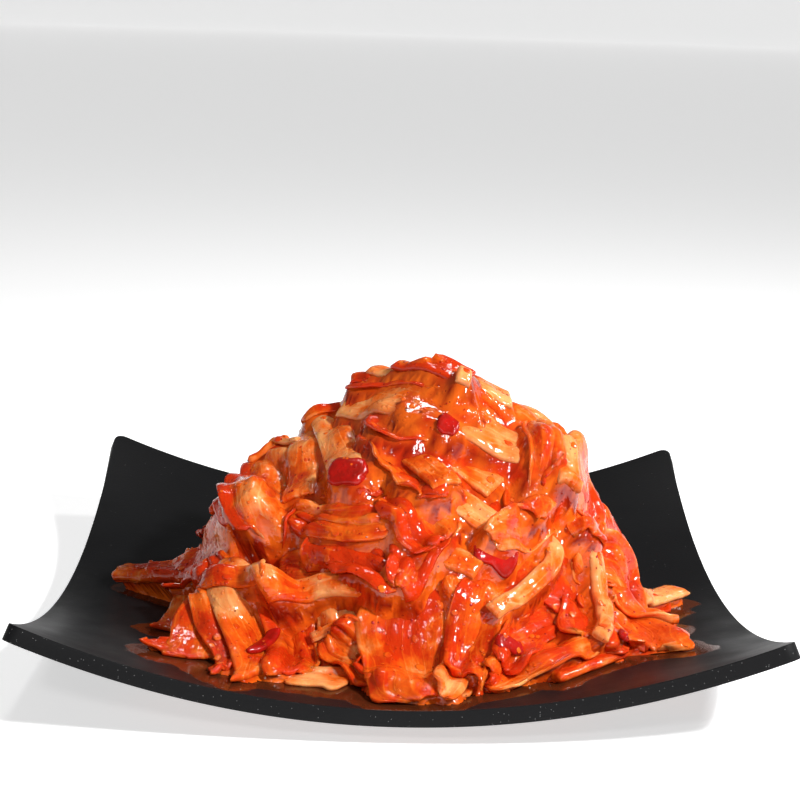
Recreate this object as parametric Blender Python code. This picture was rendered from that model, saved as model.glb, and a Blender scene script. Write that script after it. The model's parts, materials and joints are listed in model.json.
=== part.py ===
"""Cut cabbage kimchi heaped on a square dark plate whose four corners turn up."""

import math

import bmesh
import bpy
import numpy as np

MM = 0.001

# Plate, in millimetres. Its upper face is a shallow dish, and each corner rises further.
PLATE_HALF = 100.0
PLATE_THICK = 4.5
PLATE_CELLS = 8
CORNER_ROUND = 4.0
CORNER_STEPS = (0.35, 0.7, 1.0)
RIM_BEVEL = 0.6
EDGE_RISE = 4.0
CORNER_RISE = 21.4
FOOT_HEIGHT = 2.0
FOOT_OUTER, FOOT_INNER = 42.0, 36.0
FOOT_SIDES = 48
FOOT_SUNK = 2.2
FLOOR = FOOT_HEIGHT + PLATE_THICK

# Heap: a firm core with pieces laid over it
HEAP_X, HEAP_Y = 8.0, -13.0
CENTRE = np.array([HEAP_X, HEAP_Y, FLOOR])
DEEP = np.array([HEAP_X, HEAP_Y, -60.0])
CORE_WIDE, CORE_TALL, CORE_SQUARENESS = 51.0, 48.0, 2.8
FLARE, FLARE_FALL = 15.0, 9.0
CREST_RISE, CREST_AT, CREST_SPREAD = 9.0, (0.06, 0.12), (0.31, 0.42)
CORE_TURNS, CORE_CLIMBS = 40, 9
PLATE_GAP, SPACE_DEPTH = 0.35, 12.0

# The pieces at the front are placed by how they look from one side: so many millimetres
# across and up from the middle of the plate's floor, seen from EYE. ABREAST of the heap's
# middle the search for a spot ends, unless its height is given.
EYE = np.array([-13.5, -524.7, 187.4])
PITCH, YAW, ROLL = math.radians(12.7), math.radians(1.42), math.radians(1.84)
NEAREST, ABREAST, FARTHEST = 380.0, 544.0, 640.0

# The pile's height is kept over square cells of directions that fan out from DEEP
CELLS, WIDEST = 400, 1.6

# Fine grid on which a piece is laid, and the coarser one on which it is modelled
LAID_STEP = 0.8
ROW_STEP, COLUMN_STEP = 9.0, 6.0
MOST_ROWS, MOST_COLUMNS = 6, 6
PRESS = 0.55
EDGE_CURL_RADIUS, EDGE_CURL_RISE = 2.6, 0.6
MOST_HUG, LEAST_SLOPE = 12.0, 0.4
FOLD_LONG, FOLD_WIDE = 22.0, 5.5
CREASE_LONG, CREASE_WIDE, CREASE_SHARE = 9.0, 2.4, 0.35
FRILL_LONG, FRILL_WIDE = 4.5, 9.0

# A modelled piece reaches down so far into the core or the space of the plate, and its faces
# are eased sideways until each keeps this share of the usual area as seen from DEEP
BEDDED, CORE_BELOW = 6.0, 3.0
MOST_EASINGS, LEAST_AREA = 200, 0.12

# thick: millimetres; stiff: 0 limp to 1 firm; hug: how closely it follows the core;
# fold: height of the soft folds that run along it
KINDS = {
    "stalk": dict(thick=3.2, stiff=0.65, hug=0.6, fold=0.3),
    "panel": dict(thick=2.6, stiff=0.5, hug=0.8, fold=0.5),
    "leaf": dict(thick=1.5, stiff=0.0, hug=0.95, fold=1.5),
    "strip": dict(thick=3.2, stiff=0.6, hug=0.8, fold=0.2),
    "shred": dict(thick=1.5, stiff=0.6, hug=0.6, fold=0.0),
    "chilli": dict(thick=1.8, stiff=0.6, hug=0.8, fold=0.3),
}


def piece(name, kind, wide, *spots, pleats=0, depth=1.8,
          curl=(0, 0), taper=(1, 1), facing=None, **more):
    made = dict(KINDS[kind], name=name, kind=kind, wide=wide, spots=spots, facing=facing)
    made.update(pleats=pleats, depth=depth, curl=curl, taper=taper, **more)
    return made


# The front, lowest first. A third number in a spot is its height over the plate or the core.
# facing is the way a piece's broad side is turned.
FRONT = [
    piece("heel_pale", "leaf", 12, (-30, -24, 1), (-14, -26, 1)),
    piece("scrap_left", "leaf", 6, (-75, -13, 4), (-63, -18, 1)),
    piece("small_bit_right", "strip", 7, (75, 0, 4), (87, 2, 4), facing=(0, -1, 1)),
    piece("leaf_behind_stalk", "leaf", 12, (-58, 20, 10), (-44, 25, 14), pleats=2,
          facing=(0, -1, 1)),
    piece("long_stalk_left", "stalk", 20, (-42, 9), (-64, 9, 10), (-85, 7, 4),
          taper=(1, 0.25), thick=5, facing=(0, -1, 0.9)),
    piece("scoop_left", "panel", 17, (-61, 1, 9), (-64, -11, 1)),
    piece("band_left", "leaf", 8, (-70, 0, 7), (-60, 5, 10), (-48, 7, 13),
          curl=(0, 120), facing=(0, -1, 1)),
    piece("clear_leaf_left", "leaf", 18, (-57, 1, 14), (-60, -19, 1)),
    piece("stalk_right_heel", "stalk", 9, (47, -25, 1), (57, -21, 2), (68, -17, 2)),
    piece("leaf_right_heel", "leaf", 14, (40, -24, 1), (55, -15), (62, -10), pleats=2),
    piece("ribs_left", "leaf", 15, (-50, 3), (-52, -10), (-52, -23, 1), pleats=3, depth=2.0),
    piece("panel_left", "panel", 12, (-42, 4), (-42, -10), (-43, -25, 1)),
    piece("panel_mid_left", "leaf", 18, (-31, 3), (-31, -10), (-31, -25, 1), pleats=2),
    piece("ribs_mid_left", "leaf", 13, (-20, 3), (-17, -11), pleats=2),
    piece("chilli_left", "chilli", 5, (-44, -17), (-36, -12)),
    piece("pointed_shred", "shred", 3.5, (-26, -13), (-8, -6), taper=(1, 0.3)),
    piece("lined_leaf", "leaf", 18, (-20, -11), (-11, -20), (-2, -28, 1), pleats=4, depth=1.5),
    piece("red_leaf_low", "leaf", 14, (-12, -19), (0, -27, 1), (12, -29, 1), curl=(0, 130)),
    piece("big_leaf_mid", "leaf", 34, (14, 6), (8, -12), (11, -32, 1), pleats=2, depth=2.4),
    piece("pale_rib_mid", "leaf", 12, (18, 6), (24, -10), (14, -32, 1), pleats=1, depth=2.5),
    piece("ridge_leaf", "leaf", 15, (40, 11), (27, 0), (21, -28, 1), curl=(120, 0), pleats=1),
    piece("fold_low_a", "leaf", 19, (62, -12), (46, -18), (27, -27, 1), pleats=3, depth=2.2),
    piece("fold_low_b", "leaf", 14, (57, -7), (41, -12), (31, -25, 1), pleats=2, depth=2.2),
    piece("chilli_low", "chilli", 6, (31, -14), (39, -17)),
    piece("inner_leaf_right", "leaf", 26, (46, 10), (58, -2), (63, -14), pleats=2),
    piece("skirt_right", "leaf", 24, (62, 2), (70, -8, 6), (79, -17, 1), pleats=3, depth=2.2),
    piece("cape_right", "leaf", 20, (55, 14), (66, 5), (84, -11, 1), curl=(60, 0), pleats=3),
    piece("long_strip_right", "strip", 5.5, (57, 20), (63, 6), (65, -6), (62, -14)),
    piece("bent_strip", "strip", 5.5, (43, 22), (49, 12), (42, 3), (30, -5)),
    piece("chilli_speck", "chilli", 3.5, (69, -11), (71, -14)),
    piece("yellow_bit", "strip", 7, (13, 14), (26, 8)),
    piece("clear_band_left", "leaf", 8, (-56, -1, 10), (-47, 5, 14), (-40, 9, 17)),
    piece("cross_leaf", "leaf", 10, (-36, 10), (-20, 9), (-2, 4)),
    piece("cross_stalk", "stalk", 9, (-43, 5), (-22, 3), (2, -1), taper=(1, 0.5)),
    piece("mid_leaf", "leaf", 28, (-22, 22), (-10, 13), (2, 1), pleats=2, taper=(1, 0.35)),
    piece("mid_leaf_b", "leaf", 18, (11, 24), (6, 12), (1, 2), pleats=2, taper=(1, 0.5)),
    piece("fold_left", "leaf", 15, (-28, 29), (-36, 17), pleats=2),
    piece("frill", "leaf", 12, (-31, 25), (-16, 23), (3, 24), pleats=3, depth=2.2),
    piece("chilli_dark", "chilli", 9, (25, 15), (37, 9), thick=2.4),
    piece("crumple_mid", "leaf", 17, (-1, 31), (15, 17), pleats=3, depth=2.2),
    piece("red_lobe", "leaf", 13, (-23, 34), (-5, 32), pleats=1),
    piece("panel_slot", "leaf", 15, (13, 40), (34, 25)),
    piece("wedge_stalk", "stalk", 8, (14, 32), (33, 19)),
    piece("stub_left", "strip", 5.5, (-61, 33), (-47, 37)),
    piece("lobe_left", "leaf", 15, (-47, 43), (-49, 25)),
    piece("wedge_leaf_left", "leaf", 21, (-33, 45), (-38, 14), curl=(0, 60)),
    piece("wedge_top", "strip", 5, (-46, 43), (-33, 49)),
    piece("panel_high_left", "panel", 10, (-27, 60), (-30, 31)),
    piece("red_leaf_high", "leaf", 14, (-12, 51), (-8, 31), pleats=1),
    piece("block_stalk", "panel", 10, (-21, 55), (-15, 39)),
    piece("chilli_high", "chilli", 8, (-20, 38), (-9, 37), thick=2.8),
    piece("loop_leaf", "leaf", 16, (-6, 47), (4, 37), (17, 32), curl=(0, 140), pleats=2),
    piece("loop_band", "panel", 8, (-4, 51), (6, 43), (16, 34)),
    piece("big_panel", "panel", 13, (9, 47), (32, 34)),
    piece("fan_leaf", "leaf", 22, (20, 51), (35, 44), (47, 34), pleats=2),
    piece("ring_leaf", "leaf", 11, (52, 37), (50, 27), (43, 21), (29, 18), curl=(0, 130)),
    piece("ring_leaf_b", "leaf", 13, (44, 44), (40, 25), curl=(110, 0), pleats=1),
    piece("right_leaf", "leaf", 15, (51, 38), (58, 27), (57, 16), pleats=2),
    piece("right_knob", "stalk", 8, (50, 48), (56, 38), thick=5.5),
    piece("rim_bits", "leaf", 8, (-29, 57), (-14, 61), pleats=2),
    piece("slab_back", "stalk", 10, (-14, 61), (10, 59), (34, 54)),
    piece("slab_low", "leaf", 13, (-8, 53), (12, 49), (28, 47), (44, 39), pleats=1, curl=(0, 90)),
    piece("slab_front", "stalk", 14, (-13, 58), (10, 55), (46, 48)),
    piece("slab_sauce", "leaf", 10, (1, 55), (11, 52), (24, 50)),
    piece("slab_end", "leaf", 9, (43, 53), (47, 44), (46, 35), pleats=2),
    piece("chilli_slab", "chilli", 5, (13, 49), (19, 47)),
    piece("crest_leaf", "leaf", 13, (-13, 68), (5, 69), (22, 65), pleats=2),
    piece("crest_bits", "leaf", 9, (-12, 66), (-6, 73), pleats=2),
    piece("crest_stalk", "stalk", 6, (-8, 79), (2, 78)),
    piece("crest_band", "panel", 7, (1, 73), (12, 71), (22, 66)),
    piece("crest_knob", "strip", 5, (19, 69), (23, 66)),
    piece("shred_left", "shred", 1.8, (-40, 52), (-30, 49)),
]

# The sides that the list above leaves bare are filled by rule: first (and last) turn about the
# heap in degrees, how many pieces, and their kinds
SIDES = (-15.0, 176.0, 34, ("leaf", "leaf", "panel", "stalk", "leaf", "strip"))
SIDE_SIZES = {"leaf": (25, 40), "panel": (16, 32), "stalk": (10, 36), "strip": (7.5, 30)}
SIDE_SEED = 25


def plate_top(x, y):
    """Height of the plate's upper face."""
    across, along = np.asarray(x) / PLATE_HALF, np.asarray(y) / PLATE_HALF
    dish = EDGE_RISE * (across**2 + along**2)
    return FLOOR + dish + (CORNER_RISE - EDGE_RISE) * (across * along) ** 2


def core_radius(way):
    """How far the core reaches from CENTRE along each unit direction."""
    flat = np.hypot(way[..., 0], way[..., 1])
    rise = np.clip(way[..., 2], 0, 1)
    n = CORE_SQUARENESS
    dome = ((flat / CORE_WIDE) ** n + (rise / CORE_TALL) ** n) ** (-1 / n)
    climb = np.degrees(np.arcsin(rise))
    turn = np.arctan2(way[..., 1], way[..., 0])
    lobes = 1 + 0.03 * np.cos(2 * turn) + 0.025 * np.sin(3 * turn + 0.6)
    east, north = ((way[..., k] - CREST_AT[k]) / CREST_SPREAD[k] for k in (0, 1))
    bump = CREST_RISE * np.exp(-(east**2 + north**2) / 2) * (rise > 0)
    return dome * lobes + FLARE * np.exp(-climb / FLARE_FALL) + bump


def unit(v):
    return v / np.maximum(np.linalg.norm(v, axis=-1, keepdims=True), 1e-9)


def view_axes():
    ahead = np.array([math.sin(YAW) * math.cos(PITCH), math.cos(YAW) * math.cos(PITCH), -math.sin(PITCH)])
    right = unit(np.cross(ahead, (0.0, 0.0, 1.0)))
    up = np.cross(right, ahead)
    c, s = math.cos(ROLL), math.sin(ROLL)
    return c * right + s * up, c * up - s * right


ACROSS, UPWARD = view_axes()


def fan(p):
    """The cell that each point's direction from DEEP falls in, as fractions, and its height over DEEP."""
    out = p - DEEP
    high = out[..., 2]
    return (out[..., 0] / high / WIDEST + 1) / 2 * CELLS, (out[..., 1] / high / WIDEST + 1) / 2 * CELLS, high


def ground():
    """Height over DEEP, in each direction, at which the core or else the plate's face is left."""
    g = ((np.arange(CELLS) + 0.5) / CELLS * 2 - 1) * WIDEST
    gx, gy = np.meshgrid(g, g, indexing="ij")
    way = np.stack([gx, gy, np.ones_like(gx)], -1)
    plate = np.full_like(gx, FLOOR - DEEP[2])
    for _ in range(6):
        at = DEEP + way * plate[..., None]
        plate = plate_top(at[..., 0], at[..., 1]) - DEEP[2]
    low, high = plate.copy(), np.full_like(plate, FLOOR + 100 - DEEP[2])
    for _ in range(16):
        mid = (low + high) / 2
        out = DEEP + way * mid[..., None] - CENTRE
        far = np.linalg.norm(out, axis=-1)
        inside = far < core_radius(out / far[..., None])
        low, high = np.where(inside, mid, low), np.where(inside, high, mid)
    return low


GROUND = ground()


def read(table, p):
    """The table's value in each point's direction, and the point's own height."""
    i, j, high = fan(p)
    i, j = (np.clip(k - 0.5, 0, CELLS - 1.001) for k in (i, j))
    a, b = i.astype(int), j.astype(int)
    u, v = i - a, j - b
    near = table[a, b] * (1 - u) + table[a + 1, b] * u
    far = table[a, b + 1] * (1 - u) + table[a + 1, b + 1] * u
    return near * (1 - v) + far * v, high


def raised(p, by):
    """The points moved straight away from DEEP until they are so much higher."""
    out = p - DEEP
    return DEEP + out * (1 + by / out[..., 2])[..., None]


def seen_at(across, up, lift, far):
    """Where the line of sight first comes within lift of the core or the plate, or else passes closest."""
    through = np.array([0.0, 0.0, FLOOR]) + ACROSS * across + UPWARD * up
    line = unit(through - EYE)
    along = EYE + line * np.arange(NEAREST, far, 0.5)[:, None]
    under, high = read(GROUND, along)
    gap = high - under - lift
    hit = np.flatnonzero(gap <= 0)
    return along[hit[0] if len(hit) else int(np.argmin(gap))]


def waves(along, across, seed):
    """Soft random waves from -1 to 1 over two coordinates, about one to each unit."""
    table = np.random.default_rng(seed).uniform(-1, 1, (32, 32))
    i, j = np.floor(along).astype(int), np.floor(across).astype(int)
    a, b = along - i, across - j
    a, b = a * a * (3 - 2 * a), b * b * (3 - 2 * b)
    near = table[i % 32, j % 32] * (1 - a) + table[(i + 1) % 32, j % 32] * a
    far = table[i % 32, (j + 1) % 32] * (1 - a) + table[(i + 1) % 32, (j + 1) % 32] * a
    return near * (1 - b) + far * b


def through(points, count):
    """A smooth line of count points through the given ones."""
    p = np.asarray(points, float)
    if len(p) == 2:
        p = np.array([p[0], (p[0] + p[1]) / 2, p[1]])
    p = np.vstack([2 * p[0] - p[1], p, 2 * p[-1] - p[-2]])
    t = np.linspace(0, len(p) - 3, count)
    k = np.minimum(t.astype(int), len(p) - 4)
    u = (t - k)[:, None]
    a, b, c, d = (p[k + n] for n in range(4))
    return 0.5 * (2 * b + (c - a) * u + (2 * a - 5 * b + 4 * c - d) * u**2 + (3 * b - a - 3 * c + d) * u**3)


def blur(f):
    g = np.pad(f, 1, mode="edge")
    return (g[:-2, 1:-1] + g[2:, 1:-1] + g[1:-1, :-2] + g[1:-1, 2:]) / 4


def rest_over(need, stiff):
    """The lift that clears need and sags between its high spots, evened out along a stiff piece."""
    lift = need
    for _ in range(40):
        lift = np.maximum(need, blur(lift) * 0.97)
    for _ in range(3):
        lift = blur(lift)
    row = (lift.max(axis=1, keepdims=True) + lift.mean(axis=1, keepdims=True)) / 2
    for _ in range(60):
        g = np.pad(row, ((1, 1), (0, 0)), mode="edge")
        row = (g[:-2] + 2 * row + g[2:]) / 4
    return lift * (1 - stiff) + row * stiff


class Pile:
    """How high the pieces laid so far reach, in each direction from DEEP."""

    def __init__(self):
        self.reach = GROUND.copy()

    def around(self, point):
        """The pile's typical height over the ground near one point."""
        i, j, _ = fan(point)
        a, b = (int(np.clip(k, 4, CELLS - 5)) for k in (i, j))
        patch = slice(a - 4, a + 5), slice(b - 4, b + 5)
        return float(np.mean(self.reach[patch] - GROUND[patch]))

    def add(self, points):
        i, j, high = fan(points)
        i, j = (np.clip(k.astype(int), 1, CELLS - 2) for k in (i, j))
        for a in (-1, 0, 1):
            for b in (-1, 0, 1):
                np.maximum.at(self.reach, (i + a, j + b), high)


def outward(grid, out):
    """Unit normals of the surface through a grid of points, facing out."""
    n = unit(np.cross(np.gradient(grid, axis=0), np.gradient(grid, axis=1)))
    return n * (1 if (n * out).sum(-1).mean() > 0 else -1)


def spine_of(it, pile):
    """The line along the middle of a piece on the ground, and how far above it each point starts."""
    if "on_core" in it:
        points = np.array(it["on_core"])
        under, high = read(GROUND, points)
        return raised(points, under - high), np.zeros(len(points))
    points, bases = [], []
    for across, up, *given in it["spots"]:
        lift = given[0] if given else 3.0
        for _ in range(1 if given else 3):
            at = seen_at(across, up, lift, FARTHEST if given else ABREAST)
            around = pile.around(at) + it["thick"] / 2
            lift = lift if given else around
        under, high = read(GROUND, at)
        base = given[0] if given else max(float(high - under) - lift, 0.0)
        points.append(raised(at, under + base - high))
        bases.append(base)
    return np.array(points), np.array(bases)


def lay(it, pile, seed):
    """Lays a piece over the pile. Its middle surface, normals and thickness come back as grids."""
    rng = np.random.default_rng(seed)
    points, bases = spine_of(it, pile)
    length = np.linalg.norm(np.diff(points, axis=0), axis=1).sum()
    rows = int(np.clip(length / LAID_STEP, 12, 90))
    columns = int(np.clip(it["wide"] / LAID_STEP, 9, 60))
    line = through(points, rows)
    base = np.interp(np.linspace(0, 1, rows), np.linspace(0, 1, len(bases)), bases)[:, None]
    out = unit(line - CENTRE if it["facing"] is None else np.array(it["facing"]))
    side = unit(np.cross(np.gradient(line, axis=0), out))
    s = np.linspace(0, 1, rows)[:, None] + np.zeros((1, columns))
    t = np.linspace(-1, 1, columns)[None, :] + np.zeros((rows, 1))

    first, last = it["taper"]
    half = it["wide"] / 2 * (first + (last - first) * s)
    if it["kind"] in ("leaf", "chilli"):
        knots = np.linspace(0, 1, 7)
        left, right = (np.interp(s[:, 0], knots, rng.uniform(0.84, 1.12, 7))[:, None] for _ in range(2))
        half = half * np.where(t > 0, left, right)
        half = half * (0.35 + 0.65 * np.sqrt(np.clip(1 - np.abs(2 * s - 1) ** 6, 0, 1)))
    x, h = t * half, np.zeros_like(t)

    if it["pleats"]:
        knots = np.linspace(-1, 1, 6)
        warped = np.interp(t, knots, knots + rng.uniform(-0.14, 0.14, 6))
        drift = 0.6 * np.sin(s * math.pi * rng.uniform(0.6, 1.6) + rng.uniform(0, 6))
        phase = math.pi * it["pleats"] * warped + drift + rng.uniform(0, 6)
        strength = 0.55 + 0.45 * waves(s * 3, t * 1.5, seed + 1)
        h = h + it["depth"] * strength * (0.5 + 0.5 * np.cos(phase))
    for angle, way in zip(it["curl"], (-1, 1)):
        run = math.radians(angle) * EDGE_CURL_RADIUS
        h = h + EDGE_CURL_RISE * np.maximum(way * x - (half - run), 0)
    if it["kind"] == "stalk":
        h = h + 0.08 * it["wide"] * t**2 * rng.choice([-1, 1])

    grid = line[:, None] + side[:, None] * x[..., None]
    under, high = read(GROUND, grid)
    grid = raised(grid, np.minimum(under + base - high, MOST_HUG) * it["hug"])
    thick = it["thick"]
    out = unit(grid - DEEP)
    slope = np.clip((outward(grid, out) * out).sum(-1), LEAST_SLOPE, 1)
    reach, high = read(pile.reach, grid)
    need = np.maximum(reach - high + thick / 2 * out[..., 2] / slope, 0)
    grid = raised(grid, rest_over(need, it["stiff"]))

    run, width = s * length, x
    fold = waves(run / FOLD_LONG, width / FOLD_WIDE, seed + 2)
    fold = fold + CREASE_SHARE * waves(run / CREASE_LONG, width / CREASE_WIDE, seed + 3)
    frill = waves(run / FRILL_LONG, width / FRILL_WIDE, seed + 4) * np.abs(t) ** 5
    h = h + it["fold"] * (0.6 * fold + 0.9 * frill)
    grid = grid + outward(grid, out) * h[..., None]
    floor, high = read(GROUND, grid)
    grid = raised(grid, np.maximum(floor + thick / 2 - high, 0))
    normal = outward(grid, out)
    if it["kind"] in ("stalk", "strip"):
        body = thick * (0.25 + 0.75 * np.sqrt(np.clip(1 - t**4, 0, 1)))
    else:
        body = thick * (0.5 + 0.5 * (1 - t**4))
    body = body * np.clip(np.minimum(s, 1 - s) * length / 1.2 + 0.55, 0, 1)
    pile.add(grid + normal * np.maximum(body / 2 - PRESS, 0)[..., None])
    return dict(it, grid=grid, normal=normal, body=body, length=length)


def side_pieces():
    """Pieces spread over the heap's back and sides, each at a slant of its own."""
    rng = np.random.default_rng(SIDE_SEED)
    first, last, count, kinds = SIDES
    for k in range(count):
        turn = math.radians(first + (last - first) * ((k * 0.618034) % 1))
        climb = math.radians(3 + 77 * ((k + 0.5) / count) ** 1.5)
        kind = kinds[int(rng.integers(len(kinds)))]
        wide, long = (size * rng.uniform(0.8, 1.3) for size in SIDE_SIZES[kind])
        lean = rng.uniform(0, math.pi)
        d = np.array([math.cos(climb) * math.cos(turn), math.cos(climb) * math.sin(turn), math.sin(climb)])
        level = unit(np.cross(d, (0.0, 0.0, 1.0)))
        slant = level * math.cos(lean) + np.cross(level, d) * math.sin(lean)
        points = [CENTRE + d * core_radius(d) + slant * long * q for q in (-0.5, 0.0, 0.5)]
        for p in points:
            p[2] = max(p[2], FLOOR + 1.0)
        it = piece(f"side_{k:02d}", kind, wide, on_core=points)
        if kind == "leaf":
            it.update(pleats=int(rng.integers(1, 4)), depth=rng.uniform(1.2, 2.2))
            it["curl"] = ((0, 120), (120, 0), (0, 0))[int(rng.integers(3))]
        # This draw is each piece's paleness, which changes nothing of its shape
        rng.uniform()
        yield it


def laid_pieces():
    pile = Pile()
    made = [lay(it, pile, 300 + k) for k, it in enumerate(side_pieces())]
    return made + [lay(it, pile, 500 + k) for k, it in enumerate(FRONT)]


def clear_scene():
    for obj in list(bpy.data.objects):
        bpy.data.objects.remove(obj)


def material(name, colour, roughness):
    made = bpy.data.materials.new(name)
    made.use_nodes = True
    shader = made.node_tree.nodes["Principled BSDF"]
    shader.inputs["Base Color"].default_value = (*colour, 1)
    shader.inputs["Roughness"].default_value = roughness
    made.diffuse_color = (*colour, 1)
    return made


def mesh_object(name, points, faces, look=None):
    mesh = bpy.data.meshes.new(name)
    mesh.from_pydata((np.asarray(points) * MM).tolist(), [], [tuple(map(int, f)) for f in faces])
    mesh.update()
    obj = bpy.data.objects.new(name, mesh)
    bpy.context.scene.collection.objects.link(obj)
    if look:
        mesh.materials.append(look)
    return obj


def face_out(obj):
    shape = bmesh.new()
    shape.from_mesh(obj.data)
    bmesh.ops.recalc_face_normals(shape, faces=shape.faces)
    shape.to_mesh(obj.data)
    shape.free()


def picked(count, most, step, size, least):
    """Indices of the rows (or columns) of the fine grid that the modelled piece keeps."""
    keep = int(np.clip(round(size / step) + 1, least, most))
    return np.rint(np.linspace(0, count - 1, min(keep, count))).astype(int)


def turned(a, b):
    """How far vector b lies anticlockwise of a in plan, as twice the area of their triangle."""
    return a[..., 0] * b[..., 1] - a[..., 1] * b[..., 0]


def unfolded(points):
    """The grid of points eased sideways, as seen from DEEP, until none of its faces covers another."""
    out = points - DEEP
    high = out[..., 2:]
    flat = out[..., :2] / high
    for _ in range(MOST_EASINGS):
        a, b, c, d = flat[:-1, :-1], flat[1:, :-1], flat[1:, 1:], flat[:-1, 1:]
        areas = np.stack([turned(b - a, c - a), turned(c - a, d - a)])
        folded = (areas / np.median(areas) < LEAST_AREA).any(axis=0)
        if not folded.any():
            break
        near = np.zeros(flat.shape[:2], bool)
        for rows in (slice(None, -1), slice(1, None)):
            for columns in (slice(None, -1), slice(1, None)):
                near[rows, columns] |= folded
        eased = np.stack([blur(flat[..., 0]), blur(flat[..., 1])], -1)
        flat = np.where(near[..., None], (flat + eased) / 2, flat)
    return DEEP + np.concatenate([flat * high, high], -1)


def sheet_solid(it):
    """The piece as a closed solid that reaches down into the core: two faces and a wall round them."""
    rows, columns = it["grid"].shape[:2]
    i = picked(rows, MOST_ROWS, ROW_STEP, it["length"], 3)
    j = picked(columns, MOST_COLUMNS, COLUMN_STEP, it["wide"], 3 + (it["pleats"] > 0) + it["pleats"])
    grid, normal = it["grid"][np.ix_(i, j)], it["normal"][np.ix_(i, j)]
    half = it["body"][np.ix_(i, j)][..., None] / 2
    upper_side = unfolded(grid + normal * half)
    under, high = read(GROUND, upper_side)
    under_side = raised(upper_side, under - BEDDED - high)
    points = np.concatenate([upper_side.reshape(-1, 3), under_side.reshape(-1, 3)])
    n, m = len(i), len(j)
    k = np.arange(n * m).reshape(n, m)
    a, b, c, d = (q.ravel() for q in (k[:-1, :-1], k[1:, :-1], k[1:, 1:], k[:-1, 1:]))
    upper = np.concatenate([np.stack([a, b, c], 1), np.stack([a, c, d], 1)])
    ring = np.concatenate([k[:-1, 0], k[-1, :-1], k[:0:-1, -1], k[0, :0:-1]])
    after = np.roll(ring, -1)
    below = n * m
    lower_half = np.stack([ring, ring + below, after + below], 1)
    upper_half = np.stack([ring, after + below, after], 1)
    return points, np.concatenate([upper, upper[:, ::-1] + below, upper_half, lower_half])


def core_solid():
    turns = np.arange(CORE_TURNS) / CORE_TURNS * 2 * math.pi
    climbs = np.radians(np.linspace(0, 80, CORE_CLIMBS))
    t, c = np.meshgrid(turns, climbs, indexing="ij")
    way = np.stack([np.cos(c) * np.cos(t), np.cos(c) * np.sin(t), np.sin(c)], -1)
    grid = CENTRE + way * core_radius(way)[..., None]
    base = grid[:, 0] - [0, 0, CORE_BELOW]
    top = CENTRE + [0, 0, core_radius(np.array([0.0, 0.0, 1.0]))]
    bottom = CENTRE - [0, 0, CORE_BELOW]
    rings = [base] + [grid[:, n] for n in range(CORE_CLIMBS)]
    points = np.vstack([*rings, top, bottom])
    n, last = CORE_TURNS, len(rings) - 1
    faces = []
    for r in range(last):
        for a in range(n):
            b = (a + 1) % n
            faces += [(r * n + a, r * n + b, (r + 1) * n + b), (r * n + a, (r + 1) * n + b, (r + 1) * n + a)]
    crown, heel = len(points) - 2, len(points) - 1
    faces += [(last * n + a, last * n + (a + 1) % n, crown) for a in range(n)]
    faces += [((a + 1) % n, a, heel) for a in range(n)]
    return points, faces


def join(obj, helpers, cutter):
    """Fuses all the helpers on to obj in one union, cuts it with the cutter and removes both."""
    group = bpy.data.collections.new(obj.name + "_pieces")
    bpy.context.scene.collection.children.link(group)
    for helper in helpers:
        bpy.context.scene.collection.objects.unlink(helper)
        group.objects.link(helper)
    union = obj.modifiers.new("pieces", "BOOLEAN")
    union.operation, union.operand_type, union.solver = "UNION", "COLLECTION", "MANIFOLD"
    union.collection = group
    cut = obj.modifiers.new("clear of the plate", "BOOLEAN")
    cut.operation, cut.solver, cut.object = "DIFFERENCE", "MANIFOLD", cutter
    fused = evaluated_mesh(obj)
    obj.modifiers.clear()
    obj.data = fused
    for helper in [*helpers, cutter]:
        bpy.data.objects.remove(helper)
    bpy.data.collections.remove(group)


def evaluated_mesh(obj):
    bpy.context.view_layer.update()
    return bpy.data.meshes.new_from_object(obj.evaluated_get(bpy.context.evaluated_depsgraph_get()))


def make_heap(look):
    core = mesh_object("kimchi_heap", *core_solid(), look)
    face_out(core)
    helpers = []
    for it in laid_pieces():
        helper = mesh_object(it["name"], *sheet_solid(it))
        face_out(helper)
        helpers.append(helper)
    join(core, helpers, plate_space())
    core.data.materials.clear()
    core.data.materials.append(look)
    return core


def plate_grid():
    """Grid lines of the plate in plan, closer together at the corners, which are rounded off."""
    inner = np.linspace(0, PLATE_HALF - CORNER_ROUND, PLATE_CELLS)
    edge = [PLATE_HALF - CORNER_ROUND + CORNER_ROUND * step for step in CORNER_STEPS]
    half = np.concatenate([inner, edge])
    lines = np.concatenate([-half[:0:-1], half])
    x, y = np.meshgrid(lines, lines, indexing="ij")
    start = PLATE_HALF - CORNER_ROUND
    a = np.clip((np.abs(x) - start) / CORNER_ROUND, 0, 1)
    b = np.clip((np.abs(y) - start) / CORNER_ROUND, 0, 1)
    round_a, round_b = a * np.sqrt(1 - b**2 / 2), b * np.sqrt(1 - a**2 / 2)
    x = x + np.sign(x) * (round_a - a) * CORNER_ROUND
    y = y + np.sign(y) * (round_b - b) * CORNER_ROUND
    return x, y


def plate_face(rise):
    """The plate's upper face, raised by so much, as points and square faces."""
    x, y = plate_grid()
    points = np.stack([x, y, plate_top(x, y) + rise], -1)
    k = np.arange(x.size).reshape(x.shape)
    faces = np.stack([k[:-1, :-1], k[1:, :-1], k[1:, 1:], k[:-1, 1:]], -1).reshape(-1, 4)
    return points.reshape(-1, 3), faces


def plate_space():
    """Everything below the level at which the heap starts, as a solid to cut with."""
    space = mesh_object("plate_space", *plate_face(PLATE_GAP))
    deep = space.modifiers.new("depth", "SOLIDIFY")
    deep.thickness, deep.offset = SPACE_DEPTH * MM, -1
    deep.solidify_mode = "NON_MANIFOLD"
    deep.nonmanifold_thickness_mode = "FIXED"
    space.hide_render = True
    space.display_type = "WIRE"
    return space


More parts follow.
